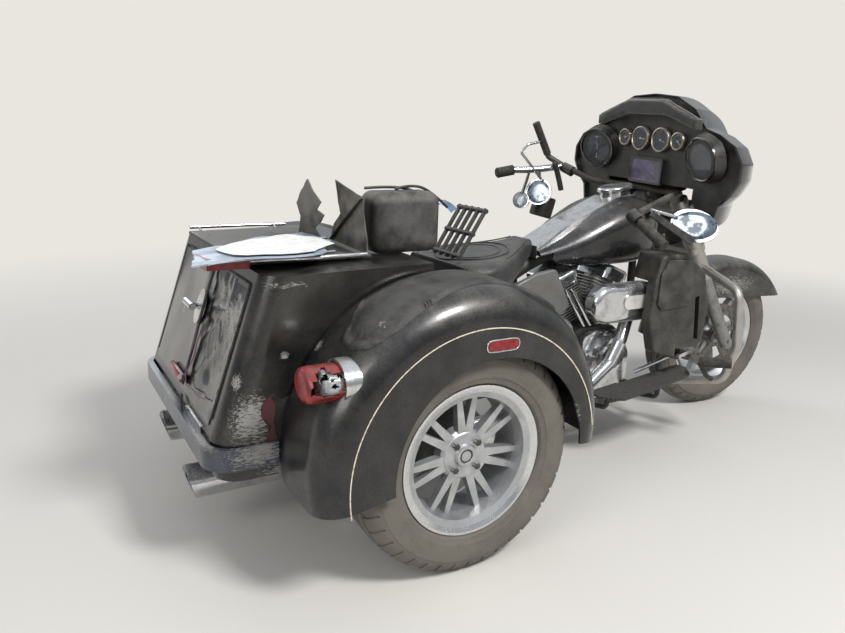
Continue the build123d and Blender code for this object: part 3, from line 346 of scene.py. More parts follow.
# %% Wheel alloy, discs and bare steel
REAR_AXLE, FRONT_AXLE = (0.700, 0.324), (-0.970, 0.320)    # Y and Z
DISC_SIDE_X = 0.474
TURNING = 1800.0               # turned rings on the lip, in radians for each metre: one every 3.5 mm
LIP_START_R, FRONT_LIP_R = 0.186, 0.196


def cast_wheel(name, axle_y, axle_z, lip_r, disc_x=None):
    """Silver coat, a bright turned lip outside lip_r, and bare steel inside disc_x."""
    material, tree, shader, place = start(name)
    where = add(tree, "SeparateXYZ", {0: place})
    off_y = add(tree, "Math", {0: where.outputs["Y"], 1: axle_y}, operation="SUBTRACT")
    off_z = add(tree, "Math", {0: where.outputs["Z"], 1: axle_z}, operation="SUBTRACT")
    arm = add(tree, "CombineXYZ", {"Y": off_y, "Z": off_z})
    radius = add(tree, "VectorMath", {0: arm}, operation="LENGTH").outputs["Value"]
    lip = add(tree, "MapRange", {"Value": radius, "From Min": lip_r, "From Max": lip_r + 0.004})
    shade = clouds(tree, place, 50, 0.3, 0.7)
    coats = [(shade, srgb("#A9AAAA"), 0.8, 0.42), (lip, srgb("#D6D7D8"), 1.0, 0.16)]
    if disc_x:
        side = add(tree, "Math", {0: where.outputs["X"]}, operation="ABSOLUTE")
        inner = add(tree, "MapRange", {"Value": side, "From Min": disc_x, "From Max": disc_x - 0.002})
        coats.append((inner, srgb("#4A4743"), 0.8, 0.45))
    coats.append((dust(tree, place, 0.16, 0.3, 40), MUD, 0.0, 0.85))
    layers(tree, shader, (srgb("#C2C4C6"), 0.8, 0.3), *coats)
    turned = add(tree, "Math", {0: radius, 1: TURNING}, operation="MULTIPLY")
    rings = add(tree, "Math", {0: turned}, operation="SINE")
    raised(tree, shader, rings, 0.01, raised(tree, shader, shade, 0.1))
    return material


rear_wheel_alloy = cast_wheel("silver_coated_cast_wheel_rear", *REAR_AXLE, LIP_START_R, DISC_SIDE_X)
front_wheel_alloy = cast_wheel("silver_coated_cast_wheel_front", *FRONT_AXLE, FRONT_LIP_R)
material, tree, shader, place = start("ground_disc_steel")
layers(tree, shader, (srgb("#77746E"), 1.0, 0.32),
       (clouds(tree, place, 20, 0.4, 0.7), srgb("#5B564E"), 0.9, 0.45),
       (dust(tree, place, 0.3, 0.5), DUST, 0.0, 0.85))
raised(tree, shader, clouds(tree, place, 2, 0.3, 0.7, (1, 1, 0.2)), 0.05)
disc_steel = material
black_steel = cast_aluminium("powder_coated_black_steel", "#151515", "#2A2722", 0.0, 0.42, 0.3, 0.6)
print("wheel lip bright from", LIP_START_R * 1000, "mm")

# %% [markdown]
# Tyre rubber is black only when new. These are brown-grey with dried mud, darker where a hand or the road
# has rubbed them, and rougher than anything else on the machine. Real rubber has a very fine skin, drawn here
# as a grain of 2 mm so that it shows.

# %% Rubber
def rubber(name, tone, rubbed, thin, thick, size_mm=50, grain=0.15):
    """Rough rubber, rubbed darker and smoother in patches, under dried dust."""
    material, tree, shader, place = start(name)
    patches = clouds(tree, place, size_mm, 0.42, 0.62)
    layers(tree, shader, (srgb(tone), 0.0, 0.82), (patches, srgb(rubbed), 0.0, 0.62),
           (dust(tree, place, thin, thick, size_mm), srgb("#837B6D"), 0.0, 0.92))
    raised(tree, shader, clouds(tree, place, 2, 0.3, 0.7), grain)
    return material


tyre_rubber = rubber("tyre_rubber_with_dried_mud", "#66625B", "#454340", 0.45, 0.6, 90)
pad_rubber = rubber("moulded_footboard_rubber", "#34363A", "#1F2022", 0.3, 0.45, 25)
tree = pad_rubber.node_tree
place = add(tree, "TexCoord").outputs["Object"]
ribs = add(tree, "TexWave", {"Vector": place, "Scale": 32.0}, bands_direction="Y")
raised(tree, tree.nodes["Principled BSDF"], ribs, 2.5)
grip_rubber = rubber("ribbed_grip_rubber", "#191919", "#101010", 0.22, 0.5, 20)
seal_rubber = rubber("extruded_seal_rubber", "#0F0F10", "#1A1A1B", 0.08, 0.3, 20, 0.05)
print("rubbers:", tyre_rubber.name, pad_rubber.name, grip_rubber.name, seal_rubber.name)

# %% [markdown]
# Most trim is moulded ABS plastic. Some has a fine leather-like grain straight from the mould, some is glossy
# and some is painted silver. Torn pieces show the paler inside of the plastic where they bent or broke.

# %% Moulded plastics
def moulded(name, tone, scuffed, roughness, thin, thick, grain_mm=1.4, depth=0.12, spots=(), bare="#B9B6AE",
            coat=0.0, metallic=0.0):
    """Plastic with a grain of grain_mm raised by depth in mm, scuffs, dust, and bare places at spots."""
    material, tree, shader, place = start(name)
    coats = [(clouds(tree, place, 55, 0.4, 0.68), srgb(scuffed), metallic, min(1.0, roughness + 0.14)),
             (dust(tree, place, thin, thick, 55), DUST, 0.0, 0.88)]
    height = clouds(tree, place, grain_mm, 0.35, 0.65)
    bump = raised(tree, shader, height, depth)
    if spots:
        gone = worn(tree, place, spots, 7, (1, 0.3, 1))
        coats.append((gone, srgb(bare), 0.0, 0.7))
        raised(tree, shader, gone, -0.3, bump)
    layers(tree, shader, (srgb(tone), metallic, roughness), *coats)
    plug(tree, shader, {"Coat Weight": coat, "Coat Roughness": 0.1})
    return material


PAD_TORN = (((-0.626, 0.952, 0.705), (0.016, 0.02, 0.02)),)
LOWER_SCUFFS = (((-0.30, -0.565, 0.56), (0.05, 0.03, 0.16)), ((-0.37, -0.50, 0.42), (0.02, 0.06, 0.03)))
PANEL_SCRATCHES = (((-0.09, 1.235, 0.84), (0.06, 0.05, 0.02)), ((-0.27, 1.17, 0.84), (0.03, 0.04, 0.02)))
SHARD_BREAK = (((-0.208, 0.90, 0.98), (0.02, 0.02, 0.03)),)
black_abs = moulded("grained_black_abs", "#141414", "#242322", 0.45, 0.2, 0.5)
pad_abs = moulded("textured_soft_pad_abs", "#151516", "#232324", 0.5, 0.12, 0.34, 2.2, 0.25, PAD_TORN,
                  "#D9D7D2")
lower_abs = moulded("dusty_black_abs_lower", "#131314", "#262522", 0.3, 0.26, 0.6, spots=LOWER_SCUFFS,
                    bare="#8F8A80")
gloss_abs = moulded("polished_black_abs", "#0A0A0C", "#151516", 0.1, 0.1, 0.4, 3, 0.02, coat=0.6)
inner_abs = moulded("inner_fairing_black_abs", "#101012", "#1C1C1D", 0.32, 0.2, 0.45)
silver_abs = moulded("silver_painted_abs", "#6E7071", "#5A5955", 0.34, 0.34, 0.62, 2, 0.04, metallic=0.45)
grey_panel = moulded("torn_blue_grey_abs", "#AEBBCB", "#8592A2", 0.4, 0.1, 0.25, 3, 0.05, PANEL_SCRATCHES,
                     "#D9DADB")
shard_abs = moulded("broken_box_abs", "#2B2A2B", "#5E574C", 0.4, 0.3, 0.4, 3, 0.05, SHARD_BREAK,
                    "#CFCBC3", 0.25)
pod_abs = moulded("speckled_speaker_pod_abs", "#19191A", "#38373A", 0.45, 0.25, 0.6, 2)
print("plastics:", sum("abs" in m.name for m in bpy.data.materials))

# %% [markdown]
# The seat is covered in vinyl, which is PVC on cloth with an embossed leather grain, and the pouch on the
# fairing is woven nylon. A weave is two sets of threads that cross, drawn here as two waves at right
# angles, 2 mm apart so that they show.

# %% Vinyl and nylon
material, tree, shader, place = start("embossed_black_vinyl")
cells = add(tree, "TexVoronoi", {"Vector": place, "Scale": 1000 / 3.0}, feature="DISTANCE_TO_EDGE")
crease = add(tree, "MapRange", {"Value": cells, "From Min": 0.0, "From Max": 0.12})
layers(tree, shader, (srgb("#17171A"), 0.0, 0.36),
       (clouds(tree, place, 80, 0.4, 0.7), srgb("#222226"), 0.0, 0.5),
       (dust(tree, place, 0.12, 0.42, 60), DUST, 0.0, 0.8))
plug(tree, shader, {"Sheen Weight": 0.1})
raised(tree, shader, crease, 0.12, raised(tree, shader, clouds(tree, place, 40, 0.3, 0.7), 1.2))
vinyl = material

material, tree, shader, place = start("woven_black_nylon")
threads = [add(tree, "TexWave", {"Vector": place, "Scale": 160.0}, wave_type="BANDS", bands_direction=way)
           for way in ("X", "Z")]
weave = add(tree, "Math", {0: threads[0], 1: threads[1]}, operation="MULTIPLY")
layers(tree, shader, (srgb("#131315"), 0.0, 0.8),
       (clouds(tree, place, 60, 0.4, 0.7), srgb("#212123"), 0.0, 0.88),
       (dust(tree, place, 0.18, 0.5, 50), DUST, 0.0, 0.9))
plug(tree, shader, {"Sheen Weight": 0.35})
raised(tree, shader, weave, 0.2)
nylon = material
print("soft covers:", vinyl.name, nylon.name)

# %% [markdown]
# Lamp lenses are clear or red acrylic, moulded with fine ribs inside. Light goes through them, so they have
# some transmission and an IOR of 1.49. What is behind them is nearly black, so part of their colour is kept
# on the surface, which also makes them read the same from every side.

# %% Acrylic, glass and dials
RIBS_MM = 4.0


def acrylic(name, tone, deep, clear):
    """A glossy lens with ribs, deeper in colour in places, and clear by a share of the light."""
    material, tree, shader, place = start(name)
    ribs = add(tree, "TexWave", {"Vector": place, "Scale": 300 / RIBS_MM}, wave_type="BANDS",
               bands_direction="Z")
    deeper = clouds(tree, place, 22, 0.42, 0.68)
    layers(tree, shader, (srgb(tone), 0.0, 0.08), (deeper, srgb(deep), 0.0, 0.08),
           (dust(tree, place, 0.12, 0.5, 30), DUST, 0.0, 0.8))
    plug(tree, shader, {"IOR": 1.49, "Transmission Weight": clear})
    raised(tree, shader, ribs, 0.2)
    return material


red_lens = acrylic("moulded_red_acrylic", "#A3141E", "#5A0A10", 0.25)
clear_lens = acrylic("cracked_clear_acrylic", "#D8DADA", "#9FA3A6", 0.45)
lamp_glass = acrylic("headlamp_glass", "#C9D0D4", "#9AA3A8", 0.6)

# Painted reflection: the pale blue-grey and the sharp dark patches stand for what the mirror shows, not for the
# glass itself.
material, tree, shader, place = start("mirror_with_painted_reflection")
layers(tree, shader, (srgb("#8D98A6"), 1.0, 0.03),
       (clouds(tree, place, 60, 0.5, 0.56), srgb("#3F4650"), 1.0, 0.05),
       (dust(tree, place, 0.2, 0.4, 40), DUST, 0.0, 0.8))
mirror_reflection_paint = material

material, tree, shader, place = start("printed_dial_face")
layers(tree, shader, (srgb("#10161F"), 0.0, 0.3),
       (clouds(tree, place, 18, 0.4, 0.7), srgb("#27384D"), 0.0, 0.35),
       (dust(tree, place, 0.2, 0.4, 20), DUST, 0.0, 0.8))
plug(tree, shader, {"Coat Weight": 0.6, "Coat Roughness": 0.06})
dial_face = material

material, tree, shader, place = start("lcd_screen_behind_glass")
layers(tree, shader, (srgb("#2A2A44"), 0.0, 0.12),
       (clouds(tree, place, 45, 0.38, 0.66), srgb("#5A4A78"), 0.0, 0.2),
       (dust(tree, place, 0.2, 0.4, 20), DUST, 0.0, 0.8))
plug(tree, shader, {"Coat Weight": 0.7, "Coat Roughness": 0.05})
lcd_glass = material
print("clear parts:", red_lens.name, clear_lens.name, mirror_reflection_paint.name, lcd_glass.name)

# %% [markdown]
# Now each part of the model gets its finish. A table that names the parts of each finish is easier to read
# and to check than a line for each part, and the loop after it prints any part that was forgotten.

# %% Dress the parts
FINISHES = {
    trunk_paint: "trunk_body tailgate", fender_paint: "rear_fenders", bumper_paint: "rear_bumper",
    tank_paint: "fuel_tank", guard_paint: "front_fender", black_steel: "frame_tubes handlebar",
    cast_grey: "rear_axle engine_cases front_calipers", finned: "cylinders", cast_silver: "fork_sliders",
    chrome: "rocker_boxes pushrod_tubes engine_covers air_cleaner exhaust_pipes mufflers tank_console "
            "fuel_door foot_controls tailgate_handle tail_lamp_bezels luggage_rails mirrors",
    dusty_chrome: "fork_covers engine_guard", dark_chrome: "headlamp",
    silver_abs: "side_covers", lower_abs: "lower_fairings glove_lid_right glove_lid_left",
    black_abs: "battery_box luggage_base backrest_frame", pad_abs: "fender_pads",
    pod_abs: "speaker_pod", grey_panel: "torn_panel", shard_abs: "box_shards",
    gloss_abs: "fairing_outer hand_controls", inner_abs: "fairing_inner", pad_rubber: "footboards",
    grip_rubber: "grips highway_pegs", tyre_rubber: "rear_tyre_right rear_tyre_left front_tyre",
    rear_wheel_alloy: "rear_rim_right rear_rim_left", front_wheel_alloy: "front_rim", disc_steel: "front_discs",
    vinyl: "rider_seat", nylon: "fairing_pouch", dial_face: "dash_instruments",
    red_lens: "tail_lamp_lenses corner_lens",
}
left = set(nodes)
for finish, names in FINISHES.items():
    for name in names.split():
        nodes[name].data.materials.clear()
        nodes[name].data.materials.append(finish)
        left.discard(name)
print("parts left without a finish:", sorted(left) or "none")

# %% [markdown]
# The new pieces are made with bmesh. Five helpers serve them all: one turns a bmesh into an object that
# rides on a body, one spins an outline into a round part, one copies a small part to a place, one says how
# a part stands, and one lays a thin round line. Each piece keeps its object at the origin, with its place in
# its mesh, as the parts of the model do. The fork was parked turned, so one matrix turns what it carries.

# %% Helpers for pieces
SIDES = (("right", -1), ("left", 1))


def finished(bm, name, body, slot, *materials, sharp=38, solid=0.0, outwards=True):
    """Cleans a bmesh, makes it an object with its finish, and lets it ride on a body."""
    bmesh.ops.remove_doubles(bm, verts=bm.verts, dist=0.00001)
    if outwards:
        bmesh.ops.recalc_face_normals(bm, faces=bm.faces)
    if solid:
        bmesh.ops.solidify(bm, geom=bm.faces[:], thickness=solid)
    mesh = bpy.data.meshes.new(name)
    bm.to_mesh(mesh)
    bm.free()
    mesh.shade_smooth()
    mesh.set_sharp_from_angle(angle=math.radians(sharp))
    for material in materials:
        mesh.materials.append(material)
    piece = bpy.data.objects.new(name, mesh)
    bpy.context.scene.collection.objects.link(piece)
    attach(piece, body)
    return piece


def lathe(outline, steps=40, closed=False):
    """A new bmesh: an outline of (radius, height) pairs in millimetres, spun about Z."""
    bm = bmesh.new()
    verts = [bm.verts.new((r / 1000, 0, h / 1000)) for r, h in outline]
    edges = [bm.edges.new(pair) for pair in zip(verts, verts[1:] + verts[:1] if closed else verts[1:])]
    bmesh.ops.spin(bm, geom=verts + edges, cent=(0, 0, 0), axis=(0, 0, 1), angle=math.tau, steps=steps,
                   use_merge=True)
    bmesh.ops.remove_doubles(bm, verts=bm.verts, dist=0.00001)
    bmesh.ops.recalc_face_normals(bm, faces=bm.faces)
    return bm


def join(bm, part, place=Matrix(), finish=0):
    """Copies a part into bm at a place, with the number of its finish."""
    mesh = bpy.data.meshes.new("copy")
    part.to_mesh(mesh)
    mesh.transform(place)
    for polygon in mesh.polygons:
        polygon.material_index = finish or polygon.material_index
    bm.from_mesh(mesh)
    bpy.data.meshes.remove(mesh)


def standing(at, direction, scale=(1, 1, 1)):
    """The place of a part whose Z points along a direction, from its own origin at a point."""
    turn = Vector(direction).to_track_quat("Z", "Y").to_matrix().to_4x4()
    return Matrix.Translation(at) @ turn @ Matrix.Diagonal((*scale, 1))


def line(name, body, material, radius_mm, points, closed=False):
    """A smooth bent rod, seam or wire through a few points, in metres."""
    curve = bpy.data.curves.new(name, "CURVE")
    curve.dimensions = "3D"
    curve.bevel_depth, curve.bevel_resolution, curve.use_fill_caps = radius_mm / 1000, 3, True
    spline = curve.splines.new("NURBS")
    spline.points.add(len(points) - 1)
    for knot, point in zip(spline.points, points):
        knot.co = (*point, 1)
    spline.use_cyclic_u = closed
    spline.order_u, spline.use_endpoint_u, spline.resolution_u = 3, not closed, 6
    curve.materials.append(material)
    piece = bpy.data.objects.new(name, curve)
    bpy.context.scene.collection.objects.link(piece)
    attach(piece, body)
    return piece


PARKED_TURN, RAKE = math.radians(-4.9), math.radians(26)
STEER_FOOT = Vector((0, -1.070, 0))
STEER_AXIS = Vector((0, math.sin(RAKE), math.cos(RAKE)))
steered = (Matrix.Translation(STEER_FOOT) @ Matrix.Rotation(PARKED_TURN, 4, STEER_AXIS)
           @ Matrix.Translation(-STEER_FOOT))
print("the fork was parked turned by", round(abs(math.degrees(PARKED_TURN)), 1), "degrees")

# %% [markdown]
# A tyre is a ring of rubber with raised lines on its wall, ribs and grooves round its tread, and slots
# across its shoulders. The section is spun about the axle in many steps, and then every few steps the faces
# of the shoulder are inset and sunk, which cuts the slots. The real slots are 5 mm wide, as here.

# %% Tyres with tread
REAR_SECTION = ((78, 198), (78, 209.5), (90, 212), (95, 216), (95.8, 219), (98.6, 229), (99.6, 231),
                (100.6, 231.4), (101.6, 243), (102.4, 252), (102.2, 264), (100.8, 278), (99.8, 279.4),
                (98.8, 281), (97, 288), (93.3, 296), (87, 305), (79, 312.5), (71.8, 317.6), (64, 319.4),
                (62, 312), (56, 312), (54, 320.8), (40, 322.8), (25, 323.6), (23, 316), (17, 316),
                (15, 323.9), (0, 324))
FRONT_SECTION = ((35, 211), (35, 221), (48, 224), (55, 233), (59, 241), (60.5, 242.4), (62.8, 252), (64.6, 262),
                 (63.8, 272), (60.4, 274.2), (56, 286), (48, 300), (40, 306), (38.4, 302), (34, 304.6),
                 (33, 310.4), (24, 315.8), (12, 318.6), (10.6, 313), (6.6, 313.4), (5.4, 319.6), (0, 320))
SLOT_STEPS = 5


def treaded_tyre(name, node, body, section, inner, shoulder, centre, steps, turn=Matrix()):
    """Spins a section, and cuts slots in its shoulder, given as two radii and a distance from the middle."""
    half = [(r, x) for x, r in section]
    outline = half + [(r, -x) for r, x in reversed(half[:-1])] + [(r, -x) for x, r in inner]
    outline += [(r, x) for x, r in reversed(inner)]
    bm = lathe(outline, steps, closed=True)
    bm.faces.ensure_lookup_table()
    sectors = {}
    for face in bm.faces:
        middle = face.calc_center_median()
        radius = Vector((middle.x, middle.y)).length * 1000
        on_shoulder = shoulder[0] < radius < shoulder[1] and abs(middle.z) * 1000 > shoulder[2]
        if on_shoulder and face.normal.xy.dot(middle.xy) > 0:
            step = int((math.atan2(middle.y, middle.x) + math.pi) / math.tau * steps)
            if (step + (2 if middle.z > 0 else 0)) % SLOT_STEPS == 0:
                sectors.setdefault((step, middle.z > 0), []).append(face)
    for faces in sectors.values():
        bmesh.ops.inset_region(bm, faces=faces, thickness=0.0012, depth=-0.004)
    bm.transform(turn @ Matrix.Translation(centre) @ Matrix.Rotation(math.radians(90), 4, "Y"))
    piece = finished(bm, name, body, "tyre", tyre_rubber, sharp=28)
    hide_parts(node)
    print(name, len(piece.data.polygons), "faces,", len(sectors), "slots")


REAR_INNER = ((64, 198), (89.5, 248), (89.5, 272), (51, 303))
FRONT_INNER = ((21, 211), (53, 260), (53, 268), (32, 300))
WHEEL_X = 0.5655
for word, side in SIDES:
    treaded_tyre("rear_tyre_tread_" + word, "rear_tyre_" + word, "rear_wheel_" + word, REAR_SECTION, REAR_INNER,
                 (290, 319, 66), (side * WHEEL_X, *REAR_AXLE), 200)
treaded_tyre("front_tyre_tread", "front_tyre", "front_wheel", FRONT_SECTION, FRONT_INNER, (284, 308, 36),
             (0, *FRONT_AXLE), 180, steered)

# %% [markdown]
# A thin cream line is painted round each rear fender, about a hand's width outside the wheel. It could be
# drawn in the material, but a strip of its own keeps a sharp edge at any distance. A short edge is spun
# about the axle, from one foot of the fender to the other, and given the thickness of thick paint.

# %% Pinstripes
STRIPE_R, STRIPE_W, STRIPE_X = 0.367, 0.0030, 0.6952
STRIPE_FROM, STRIPE_TO = math.radians(-9), math.radians(172)
material, tree, shader, place = start("cream_striping_enamel")
layers(tree, shader, (srgb("#D9CFB4"), 0.0, 0.4),
       (clouds(tree, place, 12, 0.5, 0.7), srgb("#8F8672"), 0.0, 0.6))
stripe_enamel = material
for word, side in SIDES:
    bm = bmesh.new()
    ends = [bm.verts.new((side * STRIPE_X, REAR_AXLE[0] + r, REAR_AXLE[1]))
            for r in (STRIPE_R, STRIPE_R + STRIPE_W)]
    edge = bm.edges.new(ends)
    bmesh.ops.rotate(bm, verts=ends, cent=(0, *REAR_AXLE), matrix=Matrix.Rotation(STRIPE_FROM, 3, "X"))
    bmesh.ops.spin(bm, geom=ends + [edge], cent=(0, *REAR_AXLE), axis=(1, 0, 0), angle=STRIPE_TO - STRIPE_FROM,
                   steps=110)
    bmesh.ops.recalc_face_normals(bm, faces=bm.faces)
    stripe = finished(bm, "pinstripe_" + word, "chassis", "paint", stripe_enamel, outwards=False, solid=0.0005)
    print(stripe.name, [round(v * 1000) for v in stripe.dimensions], "mm")

# %% [markdown]
# Each rear fender is one pressed shell: a crown that sweeps from the front foot over the wheel to the tail, a
# deep round shoulder, a flat side with the wheel opening cut in it, and a wall beside the trunk. The part of
# the model stops short of the tail and has a plain opening, so the shell is made here in full. Its section is
# spun forwards and backwards from the top of the crown, about the centres of the two arcs of its outline, and
# the flat side is then drawn in to the edge of the opening.

# %% Pressed rear fenders
CROWN_TOP = 0.465                            # above the axle
FEET = ((-0.415, -0.010), (0.441, -0.058))   # the front foot and the tail foot, from the axle
SHOULDER_R, SIDE_X_MM, WALL_X_MM = 84, 695, 432
OPENING_R, OPENING_AT = 0.287, Vector((-0.038, 0.0))
SHOULDER_STEPS, SIDE_ROWS, ROW_MM = 8, 6, 20


def fender_section():
    """(distance from the middle, drop below the crown, share of the flat side), from the trunk outwards."""
    flat_x = SIDE_X_MM - SHOULDER_R
    rows = [(WALL_X_MM, 119, 0), (WALL_X_MM, 60, 0), (WALL_X_MM, 8, 0), (WALL_X_MM + 2.4, 2.4, 0),
            (WALL_X_MM + 8, 0, 0), (520, 0, 0), (570, 0, 0), (flat_x, 0, 0)]
    for step in range(1, SHOULDER_STEPS + 1):
        turn = math.radians(90 * step / SHOULDER_STEPS)
        rows.append((flat_x + SHOULDER_R * math.sin(turn), SHOULDER_R * (1 - math.cos(turn)), 0))
    rows += [(SIDE_X_MM, SHOULDER_R + ROW_MM * row, row / SIDE_ROWS) for row in range(1, SIDE_ROWS + 1)]
    return rows + [(SIDE_X_MM - 7, SHOULDER_R + ROW_MM * SIDE_ROWS, 1)]


def opening_edge(centre, out):
    """Where a ray from an arc's centre meets the round wheel opening."""
    gap = centre - OPENING_AT
    half = gap.dot(out)
    return centre + out * (-half + math.sqrt(half * half - gap.dot(gap) + OPENING_R ** 2))


def rear_fender(word, side):
    """Spins the section from the top of the crown to each foot, and draws the flat side in to the opening."""
    bm = bmesh.new()
    share = bm.verts.layers.float.new("flat_side")
    for foot_y, foot_z in FEET:
        radius = (foot_y ** 2 + (CROWN_TOP - foot_z) ** 2) / (2 * (CROWN_TOP - foot_z))
        centre = Vector((0.0, CROWN_TOP - radius))
        sweep = math.atan2(abs(foot_y), foot_z - centre.y)
        row = []
        for x, drop, flat in fender_section():
            vert = bm.verts.new((side * x / 1000, 0, CROWN_TOP - drop / 1000))
            vert[share] = flat
            row.append(vert)
        edges = [bm.edges.new(pair) for pair in zip(row, row[1:])]
        before = set(bm.verts) - set(row)
        bmesh.ops.spin(bm, geom=row + edges, cent=(0, 0, centre.y), axis=(1, 0, 0),
                       angle=math.copysign(sweep, -foot_y), steps=44)
        for v in set(bm.verts) - before:
            if v[share] > 0:
                out = (Vector((v.co.y, v.co.z)) - centre).normalized()
                shoulder = centre + out * (radius - SHOULDER_R / 1000)
                v.co.y, v.co.z = shoulder.lerp(opening_edge(centre, out), v[share])
    bmesh.ops.translate(bm, vec=(0, *REAR_AXLE), verts=bm.verts)
    bmesh.ops.remove_doubles(bm, verts=bm.verts, dist=0.0002)
    bmesh.ops.recalc_face_normals(bm, faces=bm.faces)
    crown = max(bm.faces, key=lambda f: f.calc_center_median().z)
    if crown.normal.z < 0:
        bmesh.ops.reverse_faces(bm, faces=bm.faces)
    return finished(bm, "pressed_rear_fender_" + word, "chassis", "paint", fender_paint, sharp=50, solid=0.004,
                    outwards=False)


fenders = {word: rear_fender(word, side) for word, side in SIDES}
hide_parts("rear_fenders")
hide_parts("rear_fenders")
bpy.context.view_layer.update()
print("fender", [round(v * 1000) for v in fenders["right"].dimensions], "mm")

# %% [markdown]
# A soft pad of grained plastic lies along the crown of each fender, between the trunk and the shoulder. Its
# outline is drawn in plan, with a raised border, and each point is let down on the fender below. That
# follows the fender exactly, which a modelled curve would only come near to. The tear in the right pad is a
# small swelling in its mesh and a worn pale place in its material.

# %% Fender pads
PAD_OUTLINE = ((-456, 400), (-456, 560), (-456, 760), (-456, 935), (-500, 985), (-535, 1020), (-590, 1026),
               (-636, 1014), (-654, 985), (-662, 930), (-656, 870), (-647, 815), (-636, 755), (-624, 690),
               (-614, 620), (-618, 560), (-628, 500), (-624, 440), (-570, 395), (-510, 388))
PAD_TEAR, TEAR_REACH, TEAR_LIFT = Vector((-0.626, 0.952)), 0.02, 0.006
PAD_T, PAD_PROUD, LONGEST_EDGE = 0.007, 0.0006, 0.014
GROOVE_FROM, GROOVE_TO, GROOVE_DEPTH = 0.014, 0.024, 0.0035


def fender_pad(word, side, torn):
    """The outline inset a few times, cut fine, and let down on the fender with a border and a groove."""
    fender = fenders[word]
    bm = bmesh.new()
    rim = bm.faces.new([bm.verts.new((-side * x / 1000, y / 1000, 0)) for x, y in PAD_OUTLINE])
    bmesh.ops.bevel(bm, geom=rim.verts[:], offset=0.012, affect="VERTICES", segments=2, profile=0.5,
                    material=-1)
    for width in (0.006, 0.005, 0.012, 0.004, 0.004):
        inner = max(bm.faces, key=lambda f: f.calc_area())
        bmesh.ops.inset_region(bm, faces=[inner], thickness=width)
    bmesh.ops.triangulate(bm, faces=bm.faces[:])
    for _ in range(5):
        long = [e for e in bm.edges if e.calc_length() > LONGEST_EDGE]
        if long:
            bmesh.ops.subdivide_edges(bm, edges=long, cuts=1, use_grid_fill=False)
            bmesh.ops.triangulate(bm, faces=[f for f in bm.faces if len(f.verts) > 3])
    edge_points = [v.co.copy() for v in bm.verts if v.is_boundary]
    for v in bm.verts:
        found, hit, normal, _ = fender.ray_cast(Vector((v.co.x, v.co.y, 1.2)), Vector((0, 0, -1)))
        if not found:
            found, hit, normal, _ = fender.closest_point_on_mesh(Vector((v.co.x, v.co.y, 0.72)))
        inwards = min((v.co.xy - p.xy).length for p in edge_points)
        lift = PAD_T * min(1.0, inwards / 0.005)
        if GROOVE_FROM < inwards < GROOVE_TO:
            lift -= GROOVE_DEPTH
        v.co = hit + normal * (lift + PAD_PROUD)
        if torn:
            near = (v.co.xy - PAD_TEAR).length
            v.co += normal * TEAR_LIFT * math.exp(-(near / TEAR_REACH) ** 2)
    pad = finished(bm, "fender_pad_" + word, "chassis", "black_plastic", pad_abs, sharp=50)
    print(pad.name, len(pad.data.polygons), "faces")
    return pad


pads = [fender_pad("right", -1, True), fender_pad("left", 1, False)]
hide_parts("fender_pads")

# %% [markdown]
# The seat is foam under vinyl, and the pouch is padded nylon. Each starts from the model's own solid, which
# has the right place and size, and is drawn in a little, because the next step swells it. The cloth
# simulation blows the cover up gently from inside, so that its sides round and pull in between the corners,
# and a limit on how far a point may move keeps it in its place. Seams come after it.

# %% Padded seat and pouch
PRESSURE, CLOTH_FRAMES = 4, 20


def padded_piece(name, node, body, slot, material, voxel_mm, draw_in_mm, cap_mm):
    """A solid of the model as a padded cover: remeshed, drawn in, blown up by cloth and smoothed."""
    bm = bmesh.new()
    bm.from_mesh(nodes[node].data)
    bmesh.ops.remove_doubles(bm, verts=bm.verts, dist=0.00005)
    piece = finished(bm, name, body, slot, material, sharp=180)
    bpy.context.view_layer.objects.active = piece
    remesh = piece.modifiers.new("remesh", "REMESH")
    remesh.mode, remesh.voxel_size = "VOXEL", voxel_mm / 1000
    bpy.ops.object.modifier_apply(modifier=remesh.name)
    bm = bmesh.new()
    bm.from_mesh(piece.data)
    for _ in range(3):
        bmesh.ops.smooth_vert(bm, verts=bm.verts, factor=0.5, use_axis_x=True, use_axis_y=True, use_axis_z=True)
    bm.normal_update()
    for v in bm.verts:
        v.co -= v.normal * draw_in_mm / 1000
    bm.to_mesh(piece.data)
    bm.free()
    before = [v.co.copy() for v in piece.data.vertices]
    cloth = piece.modifiers.new("cloth", "CLOTH")
    cloth.settings.use_pressure, cloth.settings.uniform_pressure_force = True, PRESSURE
    cloth.settings.effector_weights.gravity = 0
    for frame_number in range(1, CLOTH_FRAMES + 1):
        bpy.context.scene.frame_set(frame_number)
    bpy.ops.object.modifier_apply(modifier=cloth.name)
    bpy.context.scene.frame_set(1)
    for v, old in zip(piece.data.vertices, before):
        move = v.co - old
        if move.length > cap_mm / 1000:
            v.co = old + move.normalized() * cap_mm / 1000
    smooth = piece.modifiers.new("smooth", "SUBSURF")
    smooth.levels = smooth.render_levels = 1
    bpy.ops.object.modifier_apply(modifier=smooth.name)
    piece.data.shade_smooth()
    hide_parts(node)
    print(name, len(piece.data.polygons), "faces", [round(v * 1000) for v in piece.dimensions], "mm")
    return piece


seat = padded_piece("padded_rider_seat", "rider_seat", "chassis", "vinyl", vinyl, 6, 4, 4)
pouch = padded_piece("padded_fairing_pouch", "fairing_pouch", "fork", "pouch_fabric", nylon, 5, 4, 4)

# %% [markdown]
# Piping follows the rim of the seat's bucket and the edge of its skirt, and the pouch has a bound edge on
# each flap. A few points are let down on the cover from above, and a thin smooth line is laid through them,
# as a cord is sewn on.

